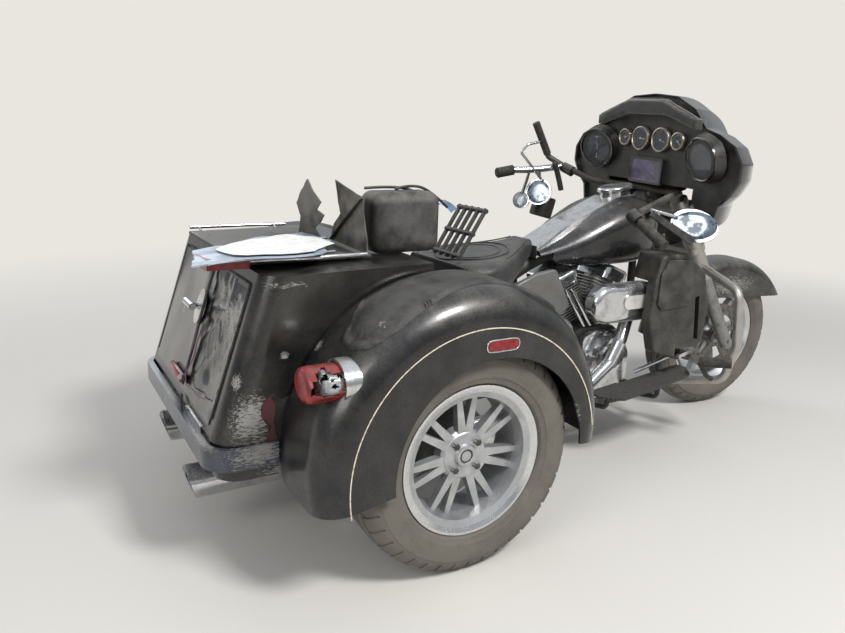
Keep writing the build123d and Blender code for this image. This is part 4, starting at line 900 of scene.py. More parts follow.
# %% Seams and piping
ABOVE_ALL_Z = 1.5
BUCKET_Y, POUCH_TOP_Y = 0.30, -0.468
SKIRT = ((0.045, 0.10), (0.085, 0.16), (0.15, 0.20), (0.178, 0.28), (0.17, 0.38), (0.15, 0.43))
FLAP_BINDINGS = {"middle": (-0.09, -0.05, 0, 0.05, 0.09), "right": (-0.125, -0.16, -0.21, -0.262),
                 "left": (0.125, 0.16, 0.21, 0.262)}


def let_down(target, points, lift_mm):
    """Points on the cover below each (x, y), a little above its skin."""
    laid = []
    for x, y in points:
        found, hit, normal, _ = target.ray_cast(Vector((x, y, ABOVE_ALL_Z)), Vector((0, 0, -1)))
        if found:
            laid.append(hit + normal * lift_mm / 1000)
    return laid


def oval(y, wide, long, count=20):
    """A ring of points in plan, about a place on the middle line."""
    return [(wide * math.cos(math.tau * i / count), y + long * math.sin(math.tau * i / count))
            for i in range(count)]


bpy.context.view_layer.update()
line("seat_bucket_piping", "chassis", vinyl, 3.2, let_down(seat, oval(BUCKET_Y, 0.135, 0.125), 1.5),
     True)
line("seat_inner_piping", "chassis", vinyl, 2.2, let_down(seat, oval(BUCKET_Y, 0.105, 0.098), 0.8),
     True)
for word, side in SIDES:
    line("seat_skirt_seam_" + word, "chassis", vinyl, 2.4,
         let_down(seat, [(side * x, y) for x, y in SKIRT], 1.0))
for word, across in FLAP_BINDINGS.items():
    laid = let_down(pouch, [tuple((steered @ Vector((x, POUCH_TOP_Y, 1.2)))[:2]) for x in across], 0.6)
    line("pouch_flap_binding_" + word, "fork", nylon, 2.6, laid)
for word, x in (("right", -0.116), ("left", 0.116)):
    laid = let_down(pouch, [tuple((steered @ Vector((x, y, 1.26)))[:2]) for y in (-0.492, -0.478, -0.464)], 0.5)
    line("pouch_seam_" + word, "fork", nylon, 2.2, laid)
print("seams sewn on", seat.name, "and", pouch.name)

# %% [markdown]
# The tailgate was pushed in. Its left half still mirrors the ground, and its upper right corner is crumpled
# into ridges. A flat grid is laid in the plane of the door and moved by noise: broad at first, then with
# sharp folds that only the upper right corner gets. The grid is then given the wall of a moulded door.

# %% Crumpled tailgate
DOOR_HALF = 0.335
DOOR_Z = (0.412, 0.764)
TAIL_Y, TAIL_Z = 1.306, 0.388                # where the leaning rear face of the trunk starts, at its foot
LEAN = (TAIL_Y - 1.172) / 0.412
HURT_AT, HURT_REACH = Vector((-0.24, 0.68)), 0.26


def door_y(z):
    """The rear face of the trunk at a height."""
    return TAIL_Y - (z - TAIL_Z) * LEAN


door_normal = Vector((0, 1, LEAN)).normalized()
bm = bmesh.new()
bmesh.ops.create_grid(bm, x_segments=84, y_segments=46, size=1)
for v in bm.verts:
    x, z = v.co.x * (DOOR_HALF - 0.001), DOOR_Z[0] + (v.co.y + 1) / 2 * (DOOR_Z[1] - DOOR_Z[0])
    v.co = Vector((x, door_y(z) + 0.003, z))
    hurt = max(0.0, 1 - ((Vector((x, z)) - HURT_AT).length / HURT_REACH) ** 2)
    edge = min(1.0, (DOOR_HALF - abs(x)) / 0.02, (z - DOOR_Z[0]) / 0.02)
    fold = abs(noise.noise(Vector((x * 9 + z * 5, z * 7, 3.1))))
    fold += 0.5 * abs(noise.noise(Vector((x * 24, z * 19, 7))))
    soft = noise.noise(Vector((x * 4, z * 5, 1.7)))
    v.co += door_normal * edge * (0.005 * soft - 0.016 * hurt * fold - 0.006 * hurt)
door_skin = finished(bm, "crumpled_tailgate", "tailgate", "paint", sharp=24, solid=0.0035)
DOOR_SCRAPES = (((-0.26, 1.21, 0.67), (0.09, 0.07, 0.07)), ((-0.15, 1.22, 0.70), (0.06, 0.05, 0.02)),
                ((0.18, 1.25, 0.60), (0.03, 0.05, 0.03)))
material, tree, shader, place = start("metallic_pearl_on_tailgate")
broad = clouds(tree, place, 130, 0.45, 0.55, (1, 1, 0.6))
scratched = worn(tree, place, DOOR_SCRAPES, 3, (0.5, 1, 0.2))
layers(tree, shader, (srgb("#34383C"), 0.75, 0.16), (broad, srgb("#15171A"), 0.75, 0.2),
       (dust(tree, place, 0.15, 0.3, 80), DUST, 0.0, 0.8), (scratched, PRIMER, 0.0, 0.7))
plug(tree, shader, {"Coat Weight": 0.6, "Coat Roughness": 0.08})
door_skin.data.materials.append(material)
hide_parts("tailgate")
print("tailgate", [round(v * 1000) for v in door_skin.dimensions], "mm")

# %% [markdown]
# Rubber trim hangs about the tailgate: the seal round the opening, a loose strip of moulding that fell
# across the door, and two thin harness wires clipped to the door. The strip crosses the hinge, so it is two
# pieces, one on the door and one on the trunk.

# %% Trim round the tailgate
SEAL = ((0.3415, 0.43), (0.3415, 0.55), (0.3415, 0.70), (0.3415, 0.768), (0.334, 0.7705), (0.2, 0.7705))


def on_door(x, z, out):
    """A point a little behind the face of the door."""
    return Vector((x, door_y(z), z)) + door_normal * out


line("tailgate_seal", "chassis", seal_rubber, 3.6,
     [on_door(x, z, 0.001) for x, z in [(-x, z) for x, z in SEAL] + list(reversed(SEAL))])


def ribbon(name, body, slot, material, width, thick, points):
    """A flat strip that follows points: its cross-section is one edge, extruded from point to point."""
    bm = bmesh.new()
    across = Vector((width / 2, 0, 0))
    ends = [bm.verts.new(points[0] - across), bm.verts.new(points[0] + across)]
    edges = [bm.edges.new(ends)]
    for here, there in zip(points, points[1:]):
        made = bmesh.ops.extrude_edge_only(bm, edges=edges)["geom"]
        edges = [g for g in made if isinstance(g, bmesh.types.BMEdge)]
        bmesh.ops.translate(bm, vec=there - here, verts=[g for g in made if isinstance(g, bmesh.types.BMVert)])
        edges = [e for e in edges if all(v in made for v in e.verts)]
    bmesh.ops.recalc_face_normals(bm, faces=bm.faces)
    long = [e for e in bm.edges if not e.is_boundary or e.calc_length() > width * 1.1]
    bmesh.ops.subdivide_edges(bm, edges=long, cuts=1, use_grid_fill=True)
    return finished(bm, name, body, slot, material, outwards=False, solid=thick)


STRIP_W, STRIP_T = 0.016, 0.004
ribbon("loose_rubber_strip", "tailgate", "rubber", seal_rubber, STRIP_W, STRIP_T,
       [on_door(-0.036, 0.752, 0.011), on_door(-0.039, 0.70, 0.013), on_door(-0.046, 0.612, 0.014),
        on_door(-0.052, 0.52, 0.013), on_door(-0.056, 0.43, 0.014)])
ribbon("loose_rubber_strip_end", "chassis", "rubber", seal_rubber, STRIP_W, STRIP_T,
       [on_door(-0.062, 0.404, 0.009), on_door(-0.078, 0.392, 0.012), Vector((-0.11, 1.322, 0.386)),
        Vector((-0.13, 1.3255, 0.372))])
harness = rubber("pvc_insulated_harness_wire", "#7A5166", "#5D4A63", 0.1, 0.3, 8, 0.02)
WIRES = {
    "harness_wire_long": ((-0.052, 0.60), (-0.068, 0.545), (-0.047, 0.50), (-0.072, 0.455), (-0.10, 0.437),
                          (-0.16, 0.45), (-0.22, 0.446), (-0.29, 0.462)),
    "harness_wire_short": ((-0.10, 0.61), (-0.082, 0.56), (-0.098, 0.52), (-0.076, 0.48), (-0.06, 0.452)),
}
for name, points in WIRES.items():
    line(name, "tailgate", harness, 1.6, [on_door(x, z, 0.014) for x, z in points])
print("trim on the tailgate: a seal, a strip in two pieces,", len(WIRES), "wires")

# %% [markdown]
# The reflector is a block with rounded edges, and the louvres are cut into the front of a thin one: its
# front face is inset and sunk, divided across, and every second field is raised again as a slat.

# %% Reflector and louvres
def block(size):
    """A new bmesh: a block about its own middle, with its size in metres."""
    bm = bmesh.new()
    bmesh.ops.create_cube(bm, size=1)
    bmesh.ops.scale(bm, vec=size, verts=bm.verts)
    return bm


bm = block((0.155, 0.016, 0.026))
bmesh.ops.bevel(bm, geom=bm.edges[:], offset=0.0075, affect="EDGES", segments=3, profile=0.5, material=-1)
bm.transform(standing(on_door(0.03, 0.44, 0.012), door_normal) @ Matrix.Rotation(math.radians(90), 4, "X"))
finished(bm, "tailgate_reflector", "tailgate", "red_lens", red_lens)
bm = lathe([(0, 9), (5, 8.4), (7.6, 5), (8.2, 0), (0, 0)], 16)
bm.transform(standing(on_door(-0.044, 0.444, 0.018), door_normal))
finished(bm, "reflector_bulb", "tailgate", "red_lens", clear_lens)
bm = block((0.165, 0.008, 0.022))
front = max(bm.faces, key=lambda f: f.calc_center_median().y)
bmesh.ops.inset_region(bm, faces=[front], thickness=0.003)
bmesh.ops.inset_region(bm, faces=[front], thickness=0.0008, depth=-0.003)
long = [e for e in front.edges if e.calc_length() > 0.1]
bmesh.ops.subdivide_edges(bm, edges=long, cuts=15, use_grid_fill=True)
slats = [f for f in bm.faces if abs(f.normal.y) > 0.9 and 0.005 < f.calc_area() ** 0.5 < 0.014]
for face in slats[::2]:
    bmesh.ops.inset_region(bm, faces=[face], thickness=0.0006, depth=0.0024)
bm.transform(Matrix.Translation((-0.216, 1.3085, 0.386)))
finished(bm, "framed_louvres", "chassis", "chrome", chrome)
print("louvres:", len(slats), "slats")

# %% [markdown]
# The luggage box was torn away. What is left of its floor is a blue-grey panel with a ragged edge, and two
# broken pieces of its front wall still stand. Their outlines are a few points, and the edges between them
# are divided with a fractal, a random jitter with a fixed seed, as a break in hard plastic runs.

# %% Torn panel and its blank label
def torn_sheet(outline, cuts, jitter, seed, thick, bend):
    """A ragged sheet with the corners given, bent by a function of each point."""
    bm = bmesh.new()
    bm.faces.new([bm.verts.new(point) for point in outline])
    bmesh.ops.subdivide_edges(bm, edges=bm.edges[:], cuts=cuts, fractal=jitter, seed=seed)
    bmesh.ops.triangulate(bm, faces=bm.faces[:])
    for _ in range(4):
        inside = [e for e in bm.edges if not e.is_boundary and e.calc_length() > 0.02]
        if inside:
            bmesh.ops.subdivide_edges(bm, edges=inside, cuts=1)
            bmesh.ops.triangulate(bm, faces=bm.faces[:])
    for v in bm.verts:
        v.co = bend(v.co)
    bmesh.ops.recalc_face_normals(bm, faces=bm.faces)
    bmesh.ops.solidify(bm, geom=bm.faces[:], thickness=thick)
    return bm


PANEL_Z = 0.8405
PANEL = ((-0.300, 1.318), (-0.215, 1.296), (-0.135, 1.20), (-0.03, 1.00), (0.03, 0.905), (-0.06, 0.885),
         (-0.17, 0.893), (-0.245, 0.94), (-0.335, 0.985), (-0.392, 1.06), (-0.405, 1.20), (-0.425, 1.30),
         (-0.38, 1.322))
LABEL = ((-0.235, 1.235), (-0.14, 1.16), (-0.060, 0.985), (-0.105, 0.925), (-0.245, 0.935), (-0.365, 1.02),
         (-0.385, 1.20))
LABEL_LIFT = Vector((0, 0, 0.0055))


def sag(point):
    """The panel lies flat in the middle, droops at its rear left corner and curls along its edge."""
    ripple = 0.004 * noise.noise(Vector((point.x * 9, point.y * 9, 2)))
    droop = -0.012 * max(0.0, (point.y - 1.2) / 0.12) ** 2
    curl = 0.010 * max(0.0, (-0.32 - point.x) / 0.1) ** 2
    return Vector((point.x, point.y, PANEL_Z + ripple + droop + curl))


bm = torn_sheet([(x, y, 0) for x, y in PANEL], 5, 1.1, 4, 0.004, sag)
panel = finished(bm, "torn_floor_panel", "chassis", "grey_panel", grey_panel, sharp=24)
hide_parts("torn_panel")
material, tree, shader, place = start("blank_paper_label")
layers(tree, shader, (srgb("#F0EFEC"), 0.0, 0.7),
       (clouds(tree, place, 30, 0.5, 0.75), srgb("#D2D0CA"), 0.0, 0.8),
       (dust(tree, place, 0.03, 0.15, 20), DUST, 0.0, 0.9))
raised(tree, shader, clouds(tree, place, 25, 0.3, 0.7), 0.5)
label = finished(torn_sheet([(x, y, 0) for x, y in LABEL], 3, 0.5, 9, 0.0004, lambda p: sag(p) + LABEL_LIFT),
                 "blank_label", "chassis", "grey_panel", material, sharp=40)
for sheet in (panel, label):
    print(sheet.name, [round(v * 1000) for v in sheet.dimensions], "mm")

# %% [markdown]
# The two standing pieces are plates about 4 mm thick, seen edge on from the side and nearly flat from the
# camera. The right one has a brace across it, which caught the light in the photograph.

# %% Broken pieces of the box wall
FLOOR_Z = 0.828
SHARD_LEFT = ((-0.10, FLOOR_Z), (-0.055, 0.862), (-0.135, 0.91), (-0.08, 0.92), (-0.122, 0.945),
              (-0.078, 0.975), (-0.05, 1.006), (-0.01, 0.985), (0.04, 0.96), (0.085, 0.925), (0.07, 0.885),
              (0.10, FLOOR_Z))
SHARD_RIGHT = ((-0.315, FLOOR_Z), (-0.308, 0.975), (-0.25, 0.98), (-0.19, 0.992), (-0.115, 1.008),
               (-0.13, 0.945), (-0.145, 0.915), (-0.10, 0.878), (-0.065, FLOOR_Z))
ROD = ((-0.36, 1.26, 0.832), (-0.33, 1.08, 0.834), (-0.30, 0.94, 0.833))


def wall_piece(name, outline, y, lean, seed):
    """A torn plate that stands up and leans back a little more with its height."""
    def bend(point):
        """Leans the shard back from its foot, and ripples it."""
        rise = point.z - FLOOR_Z
        return Vector((point.x, y + lean * rise + 0.25 * rise * rise + 0.006 * noise.noise(point * 8), point.z))
    bm = torn_sheet([(x, 0, z) for x, z in outline], 3, 0.9, seed, 0.0038, bend)
    return finished(bm, name, "chassis", "shard", shard_abs, sharp=24)


shards = [wall_piece("box_wall_piece_left", SHARD_LEFT, 0.895, 0.10, 3),
          wall_piece("box_wall_piece_right", SHARD_RIGHT, 0.858, -0.02, 8)]
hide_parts("box_shards")
ribbon("box_wall_brace", "chassis", "shard", black_abs, 0.004, 0.014,
       [Vector((-0.085, 0.868, 0.832)), Vector((-0.2, 0.872, 0.905)), Vector((-0.306, 0.870, 0.972))])
line("bent_floor_rod", "chassis", chrome, 4, ROD)
print("wall pieces", [round(s.dimensions.z * 1000) for s in shards], "mm high")

# %% [markdown]
# Two bent rods lie over the speaker pod and reach forwards to the backrest, and a curved plate of chrome lies
# over the backrest's slats. Its blue is a painted reflection of the sky in it. They are small, but the eye
# finds them against the sky.

# %% Rods and plate behind the pod
# Painted reflection: both blues and the deeper blue patches stand for sky mirrored in the chrome, not for a
# blued finish.
material, tree, shader, place = start("chrome_strip_painted_sky_reflection")
layers(tree, shader, (srgb("#8FA6C4"), 1.0, 0.1),
       (clouds(tree, place, 30, 0.45, 0.7), srgb("#2D4F86"), 1.0, 0.2),
       (dust(tree, place, 0.1, 0.3, 30), DUST, 0.0, 0.8))
PLATE_AT, PLATE_HALF = Vector((-0.075, 0.470, 0.918)), (0.078, 0.017)
bm = bmesh.new()
bmesh.ops.create_grid(bm, x_segments=14, y_segments=5, size=1)
for v in bm.verts:
    along, across = v.co.x, v.co.y
    crown = 0.022 * (1 - along * along) - 0.010 * across * across
    v.co = PLATE_AT + Vector((along * PLATE_HALF[0], across * PLATE_HALF[1], crown))
finished(bm, "backrest_top_plate", "chassis", "chrome", material, sharp=40, solid=0.003)
POD_LOW, POD_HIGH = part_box("speaker_pod")
POD_RODS = {
    "pod_rod_low": ((-0.18, POD_HIGH.y - 0.02, POD_HIGH.z + 0.004), (-0.19, 0.70, POD_HIGH.z + 0.012),
                    (-0.17, 0.60, 0.968), (-0.13, 0.55, 0.930)),
    "pod_rod_high": ((-0.22, 0.72, POD_HIGH.z + 0.004), (-0.215, 0.66, POD_HIGH.z + 0.018),
                     (-0.19, 0.58, 0.976), (-0.15, 0.50, 0.925)),
}
for name, points in POD_RODS.items():
    line(name, "chassis", black_abs, 4.2, points)
print("pod", [round(v * 1000) for v in (POD_HIGH - POD_LOW)], "mm")

# %% [markdown]
# The instruments are four round dials in bright rings, with a needle and a ring of marks each. The marks are
# plain strokes, and there are no words. A ring is a lathed part, and each dial is built facing up and then
# stood on the dash.

# %% Dials
DASH_DIALS = ((-0.146, 0.033), (-0.056, 0.046), (0.056, 0.046), (0.146, 0.033))
DIAL_Z, DIAL_FACE_Y, MARKS = 1.149, -0.506, 24
brass = chrome_plate("aged_brass_trim_ring", "#A8A08A", 0.2, 0.5, 0.25)
needle_paint = moulded("matt_needle_enamel", "#C9C7C0", "#9A978E", 0.5, 0.05, 0.2, 2, 0.0)
bm = bmesh.new()
for number, (x, radius) in enumerate(DASH_DIALS):
    r = radius * 1000
    at = standing((x, DIAL_FACE_Y, DIAL_Z), (0, 1, 0))
    ring = [(r - 7, 0.2), (r - 6.4, 3.2), (r - 3.5, 5.4), (r - 0.6, 4.6), (r + 1.6, 0.6), (r + 1.6, -9)]
    join(bm, lathe(ring, 44), at, 0)
    for mark in range(2, MARKS - 1):
        tick = block((0.0011, 0.005 if mark % 4 == 0 else 0.003, 0.0006))
        bmesh.ops.translate(tick, vec=(0, -(radius - 0.0105), 0.0005), verts=tick.verts)
        join(bm, tick, at @ Matrix.Rotation(math.tau * mark / MARKS, 4, "Z"), 1)
    needle = lathe([(0, 2.4), (3.6, 2.2), (4.4, 0.2)], 20)
    hand = block((0.0018, radius * 0.62, 0.0008))
    bmesh.ops.translate(hand, vec=(0, -radius * 0.30, 0.0016), verts=hand.verts)
    join(needle, hand)
    join(bm, needle, at @ Matrix.Rotation(0.9 + 0.3 * number, 4, "Z"), 1)
bm.transform(steered)
finished(bm, "dial_rings_and_needles", "fork", "instrument", brass, needle_paint)
print("dash:", len(DASH_DIALS), "dials with", MARKS - 3, "marks each")

# %% [markdown]
# Under the dials is a screen behind glass in a glossy frame, made by insetting the front of a block twice. A
# speaker on each side has a domed grille in a ring, and both are ovals that lean back with the dash. Their
# cloth is a pattern of small round holes, 3.2 mm apart.

# %% Screen and speakers
bm = block((0.180, 0.010, 0.100))
bmesh.ops.bevel(bm, geom=[e for e in bm.edges if abs((e.verts[0].co - e.verts[1].co).y) > 0.005], offset=0.008,
                affect="EDGES", segments=3, profile=0.5, material=-1)
glass = max(bm.faces, key=lambda f: f.calc_center_median().y)
bmesh.ops.inset_region(bm, faces=[glass], thickness=0.010)
bmesh.ops.inset_region(bm, faces=[glass], thickness=0.0012, depth=-0.0022)
glass.material_index = 1
bm.transform(steered @ Matrix.Translation((0, -0.5045, 1.030)))
finished(bm, "framed_screen", "fork", "instrument", gloss_abs, lcd_glass)

material, tree, shader, place = start("woven_speaker_cloth")
mesh_hole = add(tree, "TexVoronoi", {"Vector": place, "Scale": 1000 / 3.2}, feature="F1")
hole = add(tree, "MapRange", {"Value": mesh_hole, "From Min": 0.25, "From Max": 0.45})
layers(tree, shader, (srgb("#0A0A0B"), 0.0, 0.8), (hole, srgb("#2A2A2B"), 0.0, 0.6),
       (dust(tree, place, 0.2, 0.4, 30), DUST, 0.0, 0.9))
raised(tree, shader, hole, 0.5)
speaker_cloth = material
SPEAKER_AT, SPEAKER_TOE, SPEAKER_LEAN = Vector((0.290, -0.484, 1.094)), 11, 78
CONE = [(0, -6), (30, -6.5), (34, -4.2), (52, -3), (72, -1.0), (78, -1.8)]
CONE_RING = [(77, -3), (79, 1.5), (84, 3.6), (89, 2.0), (90, -3)]
for word, side in SIDES:
    toe = (Matrix.Translation((side * SPEAKER_AT.x, SPEAKER_AT.y, SPEAKER_AT.z))
           @ Matrix.Rotation(math.radians(side * SPEAKER_TOE), 4, "Z"))
    at = steered @ toe @ Matrix.Rotation(math.radians(SPEAKER_LEAN), 4, "X") @ Matrix.Diagonal((1, -0.9, -1, 1))
    bm = bmesh.new()
    join(bm, lathe(CONE, 56), at, 1)
    join(bm, lathe(CONE_RING, 56), at, 0)
    finished(bm, "speaker_grille_" + word, "fork", "gloss_black", gloss_abs, speaker_cloth)
print("dash: a screen and", len(SIDES), "speakers")

# %% [markdown]
# Each mirror is a chrome shell, and its glass faces back and outwards. The glass is a thin lens of its own,
# set in the shell's face. In the photograph it shows the pale ground with a dark band, and the glass's colour
# is a painted reflection of them.

# %% Mirror glasses
MIRROR_VIEW = Vector((-0.6, 0.76, 0.25)).normalized()
MIRRORS = {"right": ((-0.398, -0.392, 0.880), 0.074, 0.048), "left": ((0.432, -0.306, 0.893), 0.050, 0.050)}
GLASS_PROUD = 0.0006
for word, (at, wide, tall) in MIRRORS.items():
    bm = lathe([(0, 1.6), (0.5, 1.6), (0.93, 1.2), (1.0, 0.2), (1.02, -1.5)], 48)
    bm.transform(Matrix.Diagonal((1000 * wide, 1000 * tall, 1, 1)))
    bm.transform(steered @ standing(Vector(at) + MIRROR_VIEW * GLASS_PROUD, MIRROR_VIEW))
    finished(bm, "mirror_reflection_paint_" + word, "fork", "chrome", mirror_reflection_paint)
print("mirrors look along", [round(v, 2) for v in MIRROR_VIEW])

# %% [markdown]
# The right tail lamp is smashed: a part of its red shell is gone, and the clear inner lens, the reflector and
# the bulb show through. The shell is lathed in many small faces, and those in the broken part are deleted
# where noise says so, which leaves a jagged edge. The left lamp is whole.

# %% Tail lamps
LAMP_X, LAMP_Y, LAMP_Z = 0.612, 1.013, 0.586
SHELL = [(55, h) for h in range(0, 126, 6)] + [(54, 132), (50, 138), (44, 142), (36, 144), (28, 144.6),
                                              (20, 144.8), (10, 145), (0, 145)]
INNER = [(46, h) for h in range(2, 96, 6)] + [(43, 100), (36, 104), (26, 106), (14, 107), (0, 107)]
BOWL = [(50, 3), (40, 10), (24, 18), (10, 22), (0, 23)]
BULB = [(0, 44), (7, 42), (11, 34), (11, 26), (7, 18), (7, 6)]
LAMP_OVAL = (1, 0.78, 1)
HOLE_AT, HOLE_R = Vector((46, 10, 92)), 42


def lamp_part(name, side, outline, material, broken=None, solid=0.0025, slot="red_lens"):
    """A part lathed about the lamp's axis, without the faces that are broken off."""
    bm = lathe(outline, 44)
    if broken:
        bmesh.ops.triangulate(bm, faces=bm.faces[:])
        lost = [f for f in bm.faces if broken(f.calc_center_median() * 1000)]
        bmesh.ops.delete(bm, geom=lost, context="FACES")
    bm.transform(standing((side * LAMP_X, LAMP_Y, LAMP_Z), (0, 1, 0), LAMP_OVAL))
    return finished(bm, name, "chassis", slot, material, sharp=30, outwards=not broken, solid=solid)


def shell_lost(p):
    """A jagged hole in the outer side of the shell. On the right side the lamp's own +X is outboard."""
    ragged = 26 * noise.noise(Vector((p.x / 20, p.y / 20, p.z / 24 + 4)))
    return (p - HOLE_AT).length + ragged < HOLE_R


def inner_lost(p):
    """Holes a centimetre or two wide in the inner lens."""
    return noise.noise(Vector((p.x / 18, p.y / 18, p.z / 18 + 9))) > 0.22


lamp_left = lamp_part("tail_lamp_lens_left", 1, SHELL, red_lens)
lamp_right = lamp_part("tail_lamp_broken_shell", -1, SHELL, red_lens, shell_lost)
lamp_part("tail_lamp_inner_lens", -1, INNER, clear_lens, inner_lost, 0.002)
lamp_part("tail_lamp_reflector", -1, BOWL, chrome, slot="chrome")
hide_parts("tail_lamp_lenses")
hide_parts("tail_lamp_lenses")
bm = lathe(BULB, 20)
bm.transform(standing((-LAMP_X, LAMP_Y + 0.03, LAMP_Z), (0, 1, 0)))
finished(bm, "tail_lamp_bulb", "chassis", "red_lens", clear_lens)
print("lamp shell:", len(lamp_right.data.polygons), "faces left of", len(lamp_left.data.polygons))

# %% [markdown]
# A piece is torn out of the side of the trunk, in front of the bumper. No hole is cut: a near-black sheet is
# painted shade where the dark inside of the tear would be, and a dark red lip shows where the paint has lifted.
# Each is a ragged sheet half a millimetre proud of the side, and the lip is curled.

# %% Torn place on the trunk
SIDE_X, CURL_FROM_Y = -0.4256, 1.178
HOLE = ((1.190, 0.480), (1.168, 0.503), (1.142, 0.482), (1.108, 0.497), (1.098, 0.455), (1.118, 0.43),
        (1.104, 0.395), (1.128, 0.355), (1.160, 0.352), (1.178, 0.38), (1.168, 0.42), (1.192, 0.448))
LIP = ((1.190, 0.480), (1.168, 0.503), (1.158, 0.47), (1.163, 0.43), (1.150, 0.385), (1.160, 0.352),
       (1.178, 0.38), (1.168, 0.42), (1.192, 0.448))
# Painted shade: this near-black sheet stands in for the shadow inside the tear, which is not cut.
hole_shade_paint = moulded("near_black_painted_hole_shade", "#070707", "#171514", 0.8, 0.05, 0.2, 6, 1.2)
lifted = moulded("lifted_dark_red_primer", "#4A0E14", "#2A0B0E", 0.5, 0.1, 0.3, 3, 0.3)


def curled(point):
    """The lip stands off the side, the more the further it is from where it still holds."""
    return Vector((SIDE_X - 0.0012 - 0.006 * max(0, CURL_FROM_Y - point.y) ** 0.5, point.y, point.z))


finished(torn_sheet([(SIDE_X, y, z) for y, z in HOLE], 4, 1.2, 5, 0.0006, lambda p: Vector((SIDE_X, p.y, p.z))),
         "torn_trunk_shade_sheet", "chassis", "paint", hole_shade_paint, sharp=30)
finished(torn_sheet([(SIDE_X, y, z) for y, z in LIP], 3, 1.0, 6, 0.0008, curled),
         "torn_trunk_lip", "chassis", "paint", lifted, sharp=30)
spans = [round((max(values) - min(values)) * 1000) for values in zip(*HOLE)]
print("torn place about", spans, "mm")

# %% [markdown]
# Fasteners make a machine look real. A hexagon head is a lathe with six steps, and a round cap screw has
# more. Each rear hub has a cap with a dark ring in it and four dark nuts, and the round cover of the cams
# is held by five cap screws.

# %% Hub caps, nuts and screws
HUB_CAP = [(0, 1.6), (13, 1.4), (14.4, 0.6), (19.4, 0.6), (20.4, 2.2), (25, 2.6), (28, 1.8), (29, -1)]
CAP_RING = [(14.6, 0.9), (15.2, 1.4), (18.8, 1.4), (19.3, 0.9)]
CAP_SCREW = [(0, 1.87), (1.98, 1.87), (2.2, 3.4), (3.96, 3.4), (4.4, 2.55), (4.4, -2)]
NUT = [(0, 3), (5, 3), (8.6, 2.2), (9.8, 0.6), (9.8, -9), (0, -9)]
CAP_X, NUT_X, NUT_CIRCLE = 0.6188, 0.6243, 0.048
COVER_X, COVER_AT, SCREW_CIRCLE = -0.1835, (-0.236, 0.352), 0.064


def on_circle(centre, radius, angle):
    """The Y and Z of a place on a circle of fasteners."""
    return centre[0] + radius * math.cos(angle), centre[1] + radius * math.sin(angle)


for word, side in SIDES:
    out = (side, 0, 0)
    bm = bmesh.new()
    join(bm, lathe(HUB_CAP), standing((side * CAP_X, *REAR_AXLE), out), 0)
    join(bm, lathe(CAP_RING), standing((side * CAP_X, *REAR_AXLE), out), 1)
    for quarter in range(4):
        at = on_circle(REAR_AXLE, NUT_CIRCLE, math.radians(45 + 90 * quarter))
        join(bm, lathe(NUT, 6), standing((side * NUT_X, *at), out), 1)
    finished(bm, "hub_cap_and_nuts_" + word, "rear_wheel_" + word, "wheel_alloy", rear_wheel_alloy, black_steel)
bm = bmesh.new()
for number in range(5):
    at = on_circle(COVER_AT, SCREW_CIRCLE, math.tau * number / 5 + 0.3)
    join(bm, lathe(CAP_SCREW, 20), standing((COVER_X, *at), (-1, 0, 0)))
finished(bm, "cam_cover_screws", "chassis", "chrome", chrome)
print("hub nuts on circles of", NUT_CIRCLE * 2000, "mm, cover screws on one of", SCREW_CIRCLE * 2000, "mm")

# %% [markdown]
# The air cleaner carries a long insert with round ends, of brushed and anodised aluminium in a thin bright
# edge. It is blank here. A block whose ends are bevelled round is inset twice to make the edge.

# %% Air cleaner insert
bm = block((0.006, 0.172, 0.058))
bmesh.ops.bevel(bm, geom=[e for e in bm.edges if abs((e.verts[0].co - e.verts[1].co).x) > 0.004], offset=0.0285,
                affect="EDGES", segments=10, profile=0.5, material=-1)
face = min(bm.faces, key=lambda f: f.calc_center_median().x)
bmesh.ops.inset_region(bm, faces=[face], thickness=0.0035, depth=0.0006)
bmesh.ops.inset_region(bm, faces=[face], thickness=0.0006, depth=-0.0012)
face.material_index = 1
bm.transform(Matrix.Translation((-0.2716, -0.262, 0.584)))
material, tree, shader, place = start("satin_anodised_insert")
layers(tree, shader, (srgb("#D9D8D3"), 0.3, 0.35),
       (clouds(tree, place, 40, 0.5, 0.75), srgb("#B5B2A9"), 0.3, 0.5),
       (dust(tree, place, 0.1, 0.3, 30), DUST, 0.0, 0.8))
insert = finished(bm, "air_cleaner_insert", "chassis", "chrome", chrome, material)
print("insert", [round(v * 1000) for v in insert.dimensions], "mm")

# %% [markdown]
# The trunk is a pressing with a round corner of 62 mm at each side of its tail. In the part of the model the
# hollow comes through at that corner, so a thin skin closes it here. Its lower edge is drawn round the
# corner as a row of short edges, and that row is extruded up along the lean of the rear face. It lies a hair
# outside the wall, and less at its two ends, so that no edge shows.

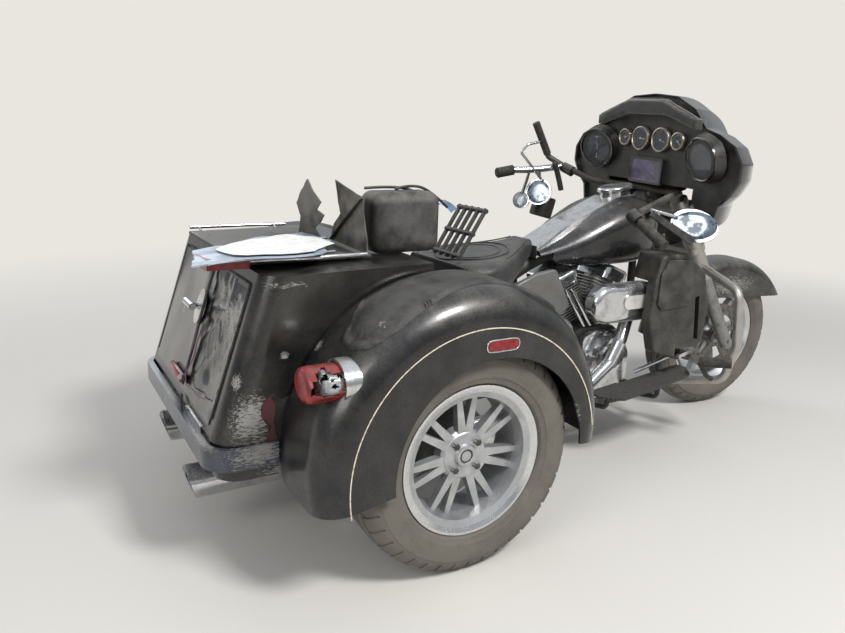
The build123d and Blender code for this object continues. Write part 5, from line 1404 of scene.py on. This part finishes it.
# %% Rounded rear corners of the trunk
CORNER_X, CORNER_R, CORNER_STEPS = 0.425, 0.062, 24
CORNER_LOW_Z, CORNER_HIGH_Z = 0.385, 0.7995
UP_THE_LEAN = Vector((0, -LEAN, 1))
for word, side in SIDES:
    bm = bmesh.new()
    row = []
    for step in range(CORNER_STEPS + 1):
        turn = math.radians(-2 + 94 * step / CORNER_STEPS)
        reach = CORNER_R + 0.0002 + 0.0007 * max(0.0, math.sin(2 * turn))
        shift = (Vector((side * (math.cos(turn) * reach - CORNER_R), 0, 0))
                 + door_normal * (math.sin(turn) * reach - CORNER_R))
        z = CORNER_LOW_Z - shift.z
        row.append(bm.verts.new(Vector((side * CORNER_X, door_y(z), z)) + shift))
    edges = [bm.edges.new(pair) for pair in zip(row, row[1:])]
    made = bmesh.ops.extrude_edge_only(bm, edges=edges)["geom"]
    bmesh.ops.translate(bm, vec=UP_THE_LEAN * (CORNER_HIGH_Z - CORNER_LOW_Z),
                        verts=[g for g in made if isinstance(g, bmesh.types.BMVert)])
    bmesh.ops.recalc_face_normals(bm, faces=bm.faces)
    if sum(face.normal.x for face in bm.faces) * side < 0:
        bmesh.ops.reverse_faces(bm, faces=bm.faces)
    finished(bm, "trunk_corner_" + word, "chassis", "paint", trunk_paint, sharp=60, solid=0.0015,
             outwards=False)
print("trunk corners closed, radius", CORNER_R * 1000, "mm")

# %% [markdown]
# A red side marker sits on the flat side of each fender: a domed slot of red acrylic over a bright
# reflector, in a bright rim. Both start as a flat plate whose corners are bevelled until its ends are round.
# Insetting it again and again, a little higher each time, makes the dome, and its back is filled at last.

# %% Side markers
MARKER, MARKER_HALF, MARKER_RIM_X = (0.658, 0.646), 0.0325, 0.6965
RIM = ((0.036, -0.015), (0.046, -0.012), (0.0495, 0), (0.046, 0.012), (0.036, 0.015), (0.0, 0.0152))
REFLECTOR_RINGS = ((0.6945, 0.0138), (0.6954, 0.0137), (0.6955, 0.009))
LENS_RINGS = ((0.6956, 0.0136), (0.6985, 0.0130), (0.6995, 0.0105), (0.6999, 0.006))


def domed_slot(rings):
    """A slot with its length along X, raised along Z in steps from ring to ring, each (height, end radius)."""
    (height, radius), *upper = rings
    bm = bmesh.new()
    bmesh.ops.create_grid(bm, x_segments=1, y_segments=1, size=1)
    bmesh.ops.scale(bm, vec=(MARKER_HALF + radius, radius, 1), verts=bm.verts)
    bmesh.ops.bevel(bm, geom=bm.verts[:], offset=radius * 0.999, affect="VERTICES", segments=5, profile=0.5,
                    material=-1)
    bmesh.ops.remove_doubles(bm, verts=bm.verts, dist=0.0001)
    bm.faces.ensure_lookup_table()
    face = bm.faces[0]
    for next_height, next_radius in upper:
        bmesh.ops.inset_individual(bm, faces=[face], thickness=radius - next_radius, depth=next_height - height)
        height, radius = next_height, next_radius
    bmesh.ops.holes_fill(bm, edges=[e for e in bm.edges if e.is_boundary], sides=0)
    return bm


rim = [(MARKER[0] + sign * y, MARKER[1] + sign * z) for sign in (1, -1) for y, z in RIM]
for word, side in SIDES:
    for name, slot, material, rings in (("side_marker_reflector_", "chrome", dusty_chrome, REFLECTOR_RINGS),
                                        ("side_marker_lens_", "red_lens", red_lens, LENS_RINGS)):
        bm = domed_slot(rings)
        bm.transform(standing((side * rings[0][0], *MARKER), (side, 0, 0)))
        marker = finished(bm, name + word, "chassis", slot, material)
    points = [(side * MARKER_RIM_X, y, z) for y, z in rim]
    line("side_marker_rim_" + word, "chassis", chrome, 2.0, points, True)
print("side markers", [round(v * 1000) for v in marker.dimensions[1:]], "mm")

# %% [markdown]
# The left end of the handlebar is torn loose. A bright clamp still carries its hand grip, and a signal lamp
# and a broken switch box hang from it on a bent bracket. They steer with the fork, so each point is turned
# by the angle at which the fork was parked.

# %% Hanging left cluster
def steered_rod(name, slot, material, radius_mm, *points):
    """A rod on the fork, through points in millimetres, as they are when the fork looks straight ahead."""
    return line(name, "fork", material, radius_mm, [steered @ (Vector(point) / 1000) for point in points])


steered_rod("left_bar_clamp", "chrome", chrome, 15, (405, -395, 1006), (440, -290, 985), (466, -192, 983))
steered_rod("left_cluster_bracket", "chrome", chrome, 7, (450, -262, 980), (474, -268, 930), (482, -256, 880))
steered_rod("left_cluster_stay", "chrome", dusty_chrome, 6, (446, -312, 978), (470, -352, 872))
steered_rod("left_clutch_hose", "black_plastic", black_abs, 12, (396, -352, 1022), (398, -380, 965),
            (400, -402, 905))
GRIP_FROM, GRIP_TO = Vector((0.466, -0.190, 0.983)), Vector((0.470, -0.112, 0.969))
ridges = [(22 - (k % 2) * 1.6, 6 + k * 4) for k in range(17)]
bm = lathe([(0, 0), (19, 0), (22, 3)] + ridges + [(22, 76), (19, 80), (0, 80)], 32)
bm.transform(steered @ standing(GRIP_FROM, GRIP_TO - GRIP_FROM))
finished(bm, "left_hand_grip", "fork", "rubber", grip_rubber, sharp=60)
bm = block((0.046, 0.098, 0.092))
bmesh.ops.bevel(bm, geom=bm.edges[:], offset=0.009, affect="EDGES", segments=4, profile=0.5, material=-1)
bm.transform(steered @ Matrix.Translation((0.478, -0.368, 0.822)) @ Matrix.Rotation(math.radians(14), 4, "X"))
finished(bm, "left_switch_box", "fork", "black_plastic", black_abs)
SIGNAL_AT = (0.480, -0.250, 0.852)
bm = lathe([(0, -40), (20, -40), (32, -30), (36, -14), (37, -3), (37, 0), (34, 0.4), (33.4, -2)], 40)
bm.transform(steered @ standing(SIGNAL_AT, MIRROR_VIEW))
finished(bm, "left_signal_shell", "fork", "chrome", chrome, outwards=False)
bm = lathe([(33.2, -3), (33, 0), (26, 4), (14, 6.4), (0, 7.2)], 40)
bm.transform(steered @ standing(SIGNAL_AT, MIRROR_VIEW))
finished(bm, "left_signal_lens", "fork", "red_lens", lamp_glass, sharp=60, outwards=False)
print("left cluster: clamp, bracket, stay, hose, grip, box and signal lamp")
